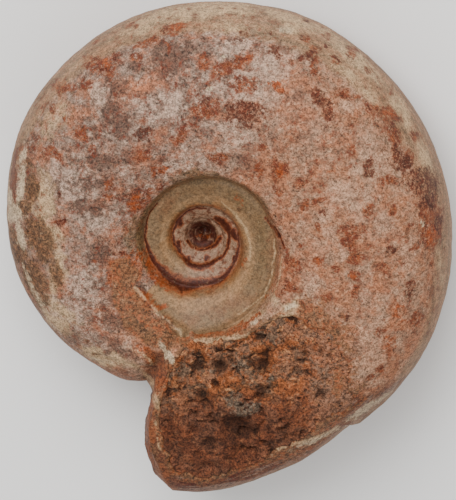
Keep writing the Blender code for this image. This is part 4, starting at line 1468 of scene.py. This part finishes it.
class SharedGroup(Wiring):
    """Wiring of a node group that the finishes share, with its named inputs at hand."""

    def __init__(self, name: str, *values: str) -> None:
        """Makes the group and its inputs.

        Args:
            name: the group's name.
            values: names of its plain inputs, which follow the place.
        """
        super().__init__(bpy.data.node_groups.new(name, "ShaderNodeTree"))
        self.tree.interface.new_socket("Place", in_out="INPUT", socket_type="NodeSocketVector")
        for label in values:
            self.tree.interface.new_socket(label, in_out="INPUT", socket_type="NodeSocketFloat")
        self.given = self.tree.nodes.new("NodeGroupInput").outputs
        self.place = self.given["Place"]

    def finish(self, results: dict[str, Socket]) -> Tree:
        """Gives the group its outputs.

        Args:
            results: value by output name.

        Returns:
            The finished group.
        """
        for label in results:
            self.tree.interface.new_socket(label, in_out="OUTPUT", socket_type="NodeSocketFloat")
        self.node("NodeGroupOutput", results)
        return self.tree


@dataclass
class StoneEffects:
    """Node groups that the finishes share. Middle is the coil's axis in the model, millimetres."""

    middle: Array
    ragged: Tree = field(init=False)
    grain: Tree = field(init=False)
    streaks: Tree = field(init=False)

    def __post_init__(self) -> None:
        """Builds the groups."""
        self.ragged, self.grain = self.ragged_group(), self.grain_group()
        self.streaks = self.streaks_group()

    def ragged_group(self) -> Tree:
        """Mask of a stain: its cover plus noise, cut at one half with a soft or a hard edge.

        Returns:
            The group, which puts out the mask.
        """
        wire = SharedGroup("ragged_stain", "Cover", "Frequency", "Raggedness", "Softness")
        cover, frequency, raggedness, softness = wire.given[1:5]
        noise = wire.noise_at(wire.place, frequency, 7.0, 0.72)
        cover = wire.math("ADD", cover, wire.times(wire.math("SUBTRACT", noise, 0.5), raggedness))
        low, high = wire.math("SUBTRACT", 0.5, softness), wire.math("ADD", 0.5, softness)
        return wire.finish({"Mask": wire.ramp(cover, low, high)})

    def grain_group(self) -> Tree:
        """Salt-and-pepper grain: the sum of a fine and a finer noise.

        Returns:
            The group, which puts out the grain's light, dark specks and height.
        """
        wire = SharedGroup("stone_grain")
        mixed = wire.math("ADD", wire.times(wire.noise(0.75, 4.0, 0.75), 0.55),
                          wire.times(wire.noise(0.34, 2.0, 0.7), 0.45))
        specks = wire.ramp(wire.noise(1.0, 4.0, 0.8), 0.54, 0.64)
        return wire.finish({"Light": wire.ramp(mixed, 0.38, 0.62), "Specks": specks, "Height": mixed})

    def streaks_group(self) -> Tree:
        """Streaks round the coil: noise read at radius, height and a much shrunken angle.

        Returns:
            The group, which puts out the streaks.
        """
        wire = SharedGroup("coil_streaks", "Across")
        from_axis = wire.node("ShaderNodeVectorMath", {0: wire.place, 1: tuple(self.middle * MM)},
                              operation="SUBTRACT").outputs[0]
        parts = wire.node("ShaderNodeSeparateXYZ", {0: from_axis}).outputs
        squares = wire.math("ADD", wire.times(parts[0], parts[0]), wire.times(parts[1], parts[1]))
        angle = wire.times(wire.math("ARCTAN2", parts[1], parts[0]), 9.0 * MM)
        stretched = wire.node("ShaderNodeCombineXYZ", {0: wire.math("SQRT", squares), 1: parts[2],
                                                       2: angle}).outputs[0]
        noise = wire.noise_at(stretched, wire.given["Across"], 6.0, 0.65)
        return wire.finish({"Streak": wire.ramp(noise, 0.36, 0.64)})


class Painter(Wiring):
    """Wiring of one finish, which lays coats over each other and keeps the colour so far."""

    def __init__(self, name: str, roughness: float, effects: StoneEffects) -> None:
        """Starts the material. Its patterns read places on the piece as Object coordinates.

        Args:
            name: the material's name.
            roughness: its roughness, where nothing is joined to it.
            effects: the shared groups.
        """
        self.material, self.shader = new_material(name, roughness)
        super().__init__(self.material.node_tree)
        self.place = self.node("ShaderNodeTexCoord", {}).outputs["Object"]
        self.effects = effects
        self.colour: Socket = None

    def group(self, tree: Tree, **inputs: object) -> bpy.types.bpy_prop_collection:
        """Adds a shared group at the piece's own place and hands back its outputs."""
        return self.node("ShaderNodeGroup", {"Place": self.place, **inputs}, node_tree=tree).outputs

    def mask(self, cover: object, edge: Edge) -> Socket:
        """Mask of a stain, cut with a ragged edge where its cover is about one half."""
        return self.group(self.effects.ragged, Cover=cover, Frequency=1.0 / (edge.size * MM),
                          Raggedness=edge.raggedness, Softness=edge.softness)[0]

    def streaks(self, across: float) -> Socket:
        """Streaks round the coil, so many to the metre across them."""
        return self.group(self.effects.streaks, Across=across)[0]

    def lay(self, tone: object, cover: object, edge: Edge | None = None, amount: object = 1.0) -> None:
        """Lays a coat over the colour so far.

        Args:
            tone: colour of the coat.
            cover: where it lies, from 0 to 1, or the name of the attribute that says so.
            edge: where it is given, the cover is cut to a ragged mask.
            amount: greatest share of the coat.
        """
        share = self.attribute(cover) if isinstance(cover, (str, Enum)) else cover
        if edge:
            share = self.mask(share, edge)
        if amount != 1.0:
            share = self.times(share, amount)
        self.colour = self.blend(share, self.colour, tone)

    def shade(self, low: float, span: float, specks: float, amount: object) -> Socket:
        """Multiplies the colour so far by low + span * grain - specks * dark specks.

        Args:
            low: light where the grain is darkest.
            span: how much lighter it gets.
            specks: how much the dark specks take away.
            amount: share of the shaded colour.

        Returns:
            Height of the grain.
        """
        grain = self.group(self.effects.grain)
        light = self.math("ADD", low, self.times(grain["Light"], span))
        light = self.math("SUBTRACT", light, self.times(grain["Specks"], specks))
        shade = self.node("ShaderNodeCombineXYZ", {0: light, 1: light, 2: light}).outputs[0]
        self.lay(self.blend(1.0, self.colour, shade, "MULTIPLY"), amount)
        return grain["Height"]

    def finish(self, height: Socket, strength: float, distance: float) -> bpy.types.Material:
        """Joins the colour and a bump to the shader.

        Args:
            height: height of the bump, from 0 to 1.
            strength: strength of the bump.
            distance: what a height of 1 stands for, millimetres.

        Returns:
            The finished material.
        """
        bump = self.node("ShaderNodeBump", {"Height": height, "Strength": strength,
                                            "Distance": distance * MM})
        self.tree.links.new(self.colour, self.shader.inputs["Base Color"])
        self.tree.links.new(bump.outputs[0], self.shader.inputs["Normal"])
        return self.material


@dataclass(frozen=True)
class ShellFinish:
    """Weathered shell: grey and pink limestone, rust stains, glazed inner whorls."""

    brush: Painter
    pink: Colour = (0.250, 0.099, 0.053)
    lilac: Colour = (0.202, 0.133, 0.097)
    peach: Colour = (0.274, 0.110, 0.053)
    dove: Colour = (0.248, 0.140, 0.085)
    pale: Colour = (0.380, 0.264, 0.194)
    rosy: Colour = (0.410, 0.246, 0.157)
    salmon: Colour = (0.305, 0.108, 0.050)
    dusk: Colour = (0.074, 0.037, 0.025)
    rust: Colour = (0.185, 0.044, 0.012)
    deep: Colour = (0.080, 0.014, 0.005)
    orange: Colour = (0.235, 0.042, 0.006)
    maroon: Colour = (0.050, 0.013, 0.006)
    cream: Colour = (0.420, 0.280, 0.152)
    tan: Colour = (0.168, 0.076, 0.034)
    straw: Colour = (0.285, 0.152, 0.076)
    brown: Colour = (0.072, 0.035, 0.016)
    wedge: Colour = (0.100, 0.030, 0.014)
    white: Colour = (0.430, 0.325, 0.205)
    olive: Colour = (0.088, 0.053, 0.021)
    # wall: the umbilical wall's own olive-brown, which also stands in for shade on the wall's upper and left
    # side.
    wall: Colour = (0.125, 0.071, 0.029)
    glaze: Colour = (0.205, 0.098, 0.038)
    greyish: Colour = (0.158, 0.097, 0.050)
    # crest: pale tone of the painted highlight on the inner whorls' crests; it is also laid over the cream
    # stains inside the umbilicus.
    crest: Colour = (0.285, 0.165, 0.080)
    crust: Colour = (0.225, 0.134, 0.083)
    core: Colour = (0.046, 0.010, 0.005)
    gash: Colour = (0.038, 0.005, 0.001)

    def flank(self) -> None:
        """Lays pink and lilac clouds, greyer on the left, under soft salmon, pale and dark ones."""
        brush, left = self.brush, self.brush.attribute("left_side")
        clouds = brush.math("ADD", brush.noise(7.0, 8.0, 0.66), brush.times(left, 0.05))
        brush.colour = brush.blend(brush.ramp(clouds, 0.42, 0.60),
                                   brush.blend(left, self.peach, self.pink),
                                   brush.blend(left, self.dove, self.lilac))
        for kind, tone, size, spread, amount in (
                (Stain.SALMON, self.salmon, 2.4, 0.74, 0.80),
                (Stain.PALE, brush.blend(left, self.rosy, self.pale), 1.6, 0.66, 0.82),
                (Stain.DUSK, self.dusk, 1.8, 0.70, 0.84)):
            random = brush.times(brush.noise(11.0 + size), spread)
            if kind is Stain.DUSK:
                random = brush.math("ADD", random, brush.times(left, 0.06))
            cover = brush.math("MAXIMUM", brush.attribute(kind), random)
            share = brush.times(brush.ramp(left, 0.0, 1.0, 0.66, 1.0), amount)
            brush.lay(tone, cover, Edge(size, 2.2, 0.26), share)

    def outer_edge(self) -> None:
        """Lays the smooth cream and tan shell of the outer edge, streaked round the coil."""
        brush = self.brush
        tone = brush.blend(brush.streaks(520.0), self.greyish, self.straw)
        brush.lay(tone, brush.times(brush.attribute("rim"), 0.9), Edge(3.0, 1.5, 0.28), 0.8)
        brush.lay(self.cream, Stain.CREAM, Edge(1.8, 1.5, 0.32), 0.82)

    def inner_whorls(self) -> None:
        """Lays the glazed whorls in the umbilicus, their halos, chalky crust and dark middle."""
        brush = self.brush
        brush.lay(self.olive, Stain.OLIVE, Edge(1.8, 1.2, 0.25), 0.6)
        # Umbilical wall: its own colour, darker on the upper and left side as painted shade.
        brush.lay(self.wall, "wall", Edge(2.2, 1.3, 0.32), 0.8)
        outside = brush.colour
        brush.colour = brush.blend(brush.ramp(brush.noise(3.4, 6.0, 0.65), 0.42, 0.58),
                                   self.glaze, self.greyish)
        brush.lay(self.greyish, "outer_band", Edge(2.5, 1.0, 0.4), 0.75)
        brush.lay(self.olive, brush.math("MULTIPLY", brush.attribute(Stain.OLIVE), 0.45, clamp=True))
        brush.lay(self.tan, Stain.SALMON, Edge(1.8, 1.5, 0.4), 0.75)
        # Painted highlight along the inner whorls' crests, in the crest tone, which also goes over the cream
        # stains.
        brush.lay(self.crest, "crest", Edge(1.5, 1.0, 0.4), 0.6)
        brush.lay(self.crest, brush.math("MULTIPLY", brush.attribute(Stain.CREAM), 0.8, clamp=True))
        brush.lay(self.wall, brush.ramp(brush.noise(1.3, 6.0, 0.78), 0.44, 0.60), amount=0.34)
        brush.lay(self.rust, brush.times(brush.attribute("halo"), 0.8), Edge(2.6, 1.8, 0.4), 0.6)
        brush.colour = brush.blend(brush.attribute("glaze"), outside, brush.colour)
        chalk = brush.blend(brush.mask(0.62, Edge(1.3, 2.4, 0.16)), self.wedge, self.crust)
        brush.lay(chalk, "crust", amount=0.92)
        grey = brush.times(brush.ramp(brush.noise(1.1), 0.54, 0.64), 0.45)
        brush.lay(brush.blend(grey, self.core, self.crust), "core")

    def deposits(self) -> Socket:
        """Lays grainy crusts of rust, orange and maroon.

        Returns:
            The mask of the rust.
        """
        brush, masks = self.brush, []
        random = brush.times(brush.times(brush.noise(9.0, 3.0), 0.64),
                             brush.math("SUBTRACT", 1.0, brush.attribute("glaze")))
        random = brush.times(random, brush.ramp(brush.attribute("left_side"), 0.0, 1.0, 0.92, 1.0))
        speckle = brush.ramp(brush.noise(0.9, 4.0, 0.8), 0.38, 0.52, 0.25, 1.0)
        uneven = brush.ramp(brush.noise(1.5, 5.0, 0.7), 0.42, 0.58)
        for kind, tones, spread, size, soft in (
                (Stain.RUST, (self.rust, self.deep), random, 1.5, 0.20),
                (Stain.ORANGE, (self.orange, self.rust), 0.0, 1.2, 0.20),
                (Stain.MAROON, (self.deep, self.maroon), 0.0, 1.2, 0.16)):
            cover = brush.math("MAXIMUM", brush.attribute(kind), spread)
            masks.append(brush.times(brush.mask(cover, Edge(size, 2.3, soft)), speckle))
            brush.lay(brush.blend(uneven, *tones), masks[-1], amount=0.92)
        return masks[0]

    def broken_parts(self) -> None:
        """Lays the bare broken mouth, the band under it painted dark as shade in brown and rust, soil by the
        ridge and loose sand.
        """
        brush, whole = self.brush, self.brush.colour
        earth = brush.ramp(brush.noise(3.0, 7.0, 0.7), 0.42, 0.58)
        brush.colour = brush.blend(brush.times(earth, 0.75), self.wedge, self.brown)
        brush.lay(self.tan, brush.ramp(brush.noise(1.3, 6.0, 0.8), 0.52, 0.62), amount=0.7)
        brush.lay(self.rust, brush.ramp(brush.noise(6.0, 3.0), 0.44, 0.60), Edge(1.6, 2.0, 0.3), 0.6)
        brush.colour = brush.blend(brush.times(brush.attribute("face"), 0.95), whole, brush.colour)
        # Painted shade under the lower rim, carried in dark brown and rust tones and streaked with greyish
        # lines.
        dark = brush.blend(earth, self.deep, brush.blend(0.35, self.brown, self.rust))
        lines = brush.times(brush.ramp(brush.streaks(420.0), 0.42, 0.68), 0.6)
        brush.lay(brush.blend(lines, dark, self.lilac), "shaded_under_rim", amount=0.92)
        ground = brush.blend(brush.ramp(brush.noise(0.9, 4.0, 0.8), 0.42, 0.58),
                             brush.blend(earth, self.brown, self.rust), self.tan)
        brush.lay(ground, brush.times(brush.attribute("soil"), 0.9), Edge(1.6, 1.6, 0.25), 0.85)
        brush.lay(ground, brush.times(brush.attribute("sandy"), 0.95), Edge(1.1, 2.6, 0.2), 0.85)

    def build(self) -> bpy.types.Material:
        """Lays the whole finish, the fine marks last, and the grain over it.

        Returns:
            The material.
        """
        brush = self.brush
        self.flank()
        self.outer_edge()
        self.inner_whorls()
        rust = self.deposits()
        self.broken_parts()
        mottled = brush.blend(brush.ramp(brush.noise(1.2, 5.0, 0.75), 0.46, 0.60), self.brown, self.tan)
        gash, glaze, rim = (brush.attribute(name) for name in (Stroke.GASH, "glaze", "rim"))
        brush.lay(mottled, Stain.BROWN, Edge(1.6, 1.7, 0.18), 0.88)
        brush.lay(self.wedge, Stain.WEDGE, Edge(1.2, 1.0, 0.12), 0.88)
        brush.lay(self.white, Stain.WHITE, Edge(1.3, 2.3, 0.28), 0.74)
        brush.lay(self.rust, brush.times(gash, 2.8), Edge(0.9, 1.8, 0.45), 0.80)
        brush.lay(self.gash, gash, Edge(0.9, 1.5, 0.30), 0.94)
        brush.lay(self.cream, Stroke.LINE, Edge(0.8, 2.7, 0.42), 0.52)
        strength = brush.math("SUBTRACT", 1.0, brush.times(glaze, 0.4))
        strength = brush.math("SUBTRACT", strength, brush.times(rim, 0.1), clamp=True)
        grain = brush.shade(0.44, 1.26, 0.30, strength)
        gloss = brush.math("SUBTRACT", 0.76, brush.times(glaze, 0.22))
        gloss = brush.math("SUBTRACT", gloss, brush.times(rim, 0.12))
        brush.tree.links.new(gloss, brush.shader.inputs["Roughness"])
        height = brush.math("ADD", brush.times(grain, strength), brush.times(rust, -0.2))
        return brush.finish(height, 0.6, 0.3)


@dataclass(frozen=True)
class SandstoneFinish:
    """Coarse rusty sandstone with pits painted black as shade, grains of many tones and grey crystals."""

    brush: Painter
    rusty: Colour = (0.204, 0.062, 0.020)
    earthy: Colour = (0.094, 0.036, 0.014)
    purple: Colour = (0.088, 0.027, 0.013)
    amber: Colour = (0.218, 0.060, 0.019)
    grains: Colour = (0.325, 0.152, 0.068)
    crystals: Colour = (0.118, 0.094, 0.066)
    dusty_pink: Colour = (0.215, 0.105, 0.062)
    # pits: near black. It is painted shade in hollows, crevices and between grains, and also the tone of dark
    # grains and spots.
    pits: Colour = (0.020, 0.008, 0.004)

    def ground(self, rough: Socket) -> None:
        """Lays the clumps, their drift of tone to the right and downwards, and dust.

        Args:
            rough: 1 on coarse sand, less on the smoother low part.
        """
        brush, right = self.brush, self.brush.attribute("right_part")
        clump = brush.math("ADD", brush.attribute("clump_tone"), brush.noise(3.0))
        brush.colour = brush.blend(brush.ramp(clump, 0.75, 1.2), self.earthy, self.rusty)
        brush.lay(self.purple, brush.times(brush.attribute("low_part"), 0.85), Edge(4.0, 1.6, 0.3), 0.8)
        brush.lay(self.amber, right, Edge(2.5, 1.8, 0.3), 0.4)
        brush.lay(self.dusty_pink, brush.ramp(right, 0.40, 0.98), Edge(2.2, 2.6, 0.4), 0.62)
        dusty = brush.mask(brush.ramp(brush.noise(5.0, 3.0), 0.42, 0.60), Edge(1.2, 2.2, 0.3))
        brush.lay(self.crystals, brush.times(dusty, rough), amount=0.42)

    def build(self) -> bpy.types.Material:
        """Lays the ground, single grains, crystals, white specks, and painted shade in the hollows and
        between the grains.

        Returns:
            The material.
        """
        brush, low_part = self.brush, self.brush.attribute("low_part")
        rough = brush.math("SUBTRACT", 1.0, brush.times(low_part, 0.75))
        self.ground(rough)
        tone = brush.attribute("grain_tone")
        for low, high, ends, colour, amount in (
                (0.02, 0.20, (1.0, 0.0), self.pits, 0.45), (0.60, 0.68, (0.0, 1.0), self.amber, 0.50),
                (0.84, 0.90, (0.0, 1.0), self.grains, 0.65)):
            brush.lay(colour, brush.times(brush.ramp(tone, low, high, *ends), rough), amount=amount)
        cover = brush.times(brush.attribute("crystals"), 0.85)
        facets = brush.blend(brush.ramp(brush.noise(0.9, 4.0, 0.8), 0.40, 0.52), self.pits, self.crystals)
        brush.lay(facets, cover, Edge(1.3, 2.7, 0.24), 0.78)
        glint = brush.ramp(brush.noise(0.6, 3.0), 0.58, 0.66)
        brush.lay(self.grains, brush.times(glint, cover), amount=0.7)
        shade = brush.ramp(brush.noise(2.2, 5.0, 0.7), 0.48, 0.60)
        brush.lay(self.pits, brush.times(shade, low_part), amount=0.45)
        brush.lay(self.grains, Stain.WHITE, Edge(1.0, 0.8, 0.1))
        # Painted shade where the grain is low, and in the pits, knob pits and crevices.
        brush.lay(self.pits, brush.ramp(brush.attribute("grain"), 0.05, 0.45, 1.0, 0.0), amount=0.6)
        dark = brush.math("SUBTRACT", 0.84, brush.times(low_part, 0.16))
        brush.lay(self.pits, brush.times(brush.attribute("hollow"), dark))
        return brush.finish(brush.shade(0.38, 1.50, 0.36, 1.0), 1.0, 0.6)


# --- studio -----------------------------------------------------------------------------------

@dataclass(frozen=True)
class Studio:
    """Plain pale floor, soft light and the camera over the stone."""

    stone: Stone
    floor_size: float = 3.0
    floor_colour: Colour = (0.86, 0.85, 0.83)
    distance: float = 1.4
    frame_height: float = 105.0
    aim: Place = (4.83, -4.41)
    sensor: float = 36.0

    def axes(self) -> tuple[Array, Array, Array]:
        """The plan's axes in the model: sight, right and up, after the stone's lean."""
        coil = self.stone.coil
        return tuple(coil.leaned(axis) for axis in coil.sight_axes())

    def camera(self) -> None:
        """Puts a long lens on the line of sight, aimed a little right of and below the middle."""
        sight, right, above = self.axes()
        apex = self.stone.coil.leaned(np.array([0.0, 0.0, self.stone.coil.apex_height]))
        target = (apex + self.stone.offset + right * self.aim[0] + above * self.aim[1]) * MM
        data = bpy.data.cameras.new("camera")
        data.sensor_width = self.sensor
        data.lens = self.sensor * self.distance / (self.frame_height * MM)
        data.clip_end = 10.0
        camera = bpy.data.objects.new("camera", data)
        bpy.context.scene.collection.objects.link(camera)
        spot = target + sight * self.distance
        turn = Matrix((right, above, sight)).transposed().to_4x4()
        camera.matrix_world = Matrix.Translation(Vector(spot)) @ turn
        bpy.context.scene.camera = camera

    def floor(self) -> None:
        """A plain square of pale paper under the stone."""
        half = self.floor_size / 2.0
        corners = np.array([(-half, -half, 0.0), (half, -half, 0.0), (half, half, 0.0),
                            (-half, half, 0.0)]) / MM
        floor = new_mesh("floor", corners, np.array([(0, 1, 2), (0, 2, 3)]), {})
        material, shader = new_material("pale_paper", 0.9)
        shader.inputs["Base Color"].default_value = rgba(self.floor_colour)
        floor.data.materials.append(material)

    def lamp(self, name: str, where: tuple[float, float, float], size: float, power: float) -> None:
        """Hangs one square soft light that faces the stone.

        Args:
            name: its name.
            where: its place, metres.
            size: its edge, metres.
            power: watts.
        """
        data = bpy.data.lights.new(name, "AREA")
        data.size = size
        data.energy = power
        lamp = bpy.data.objects.new(name, data)
        bpy.context.scene.collection.objects.link(lamp)
        lamp.location = where
        lamp.rotation_euler = (-Vector(where)).to_track_quat("-Z", "Y").to_euler()

    def build(self) -> None:
        """Sets up the whole studio."""
        self.floor()
        self.camera()
        self.lamp("main_light", (-0.12, 0.76, 0.96), 0.7, 19.0)
        self.lamp("fill_light", (0.5, -0.5, 1.2), 1.2, 3.0)
        world = bpy.data.worlds.new("studio")
        world.use_nodes = True
        world.node_tree.nodes["Background"].inputs["Color"].default_value = (1.0, 1.0, 1.0, 1.0)
        world.node_tree.nodes["Background"].inputs["Strength"].default_value = 0.7
        bpy.context.scene.world = world


def main() -> None:
    """Builds the shell, the sandstone and the studio, and dresses them."""
    logging.basicConfig(level=logging.INFO, format="%(name)s: %(message)s")
    stone = Stone()
    shell = Shell(stone).build()
    sandstone = ChamberSandstone(stone).build()
    effects = StoneEffects(stone.offset)
    shell.data.materials.append(ShellFinish(Painter("weathered_shell", 0.6, effects)).build())
    sandstone.data.materials.append(
        SandstoneFinish(Painter("chamber_sandstone", 0.85, effects)).build())
    for piece in (shell, sandstone):
        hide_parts("ammonite")
        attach(piece, "root")
        LOG.info("%s: %d triangles", piece.name, len(piece.data.polygons))
    Studio(stone).build()


if __name__ == "__main__":
    main()
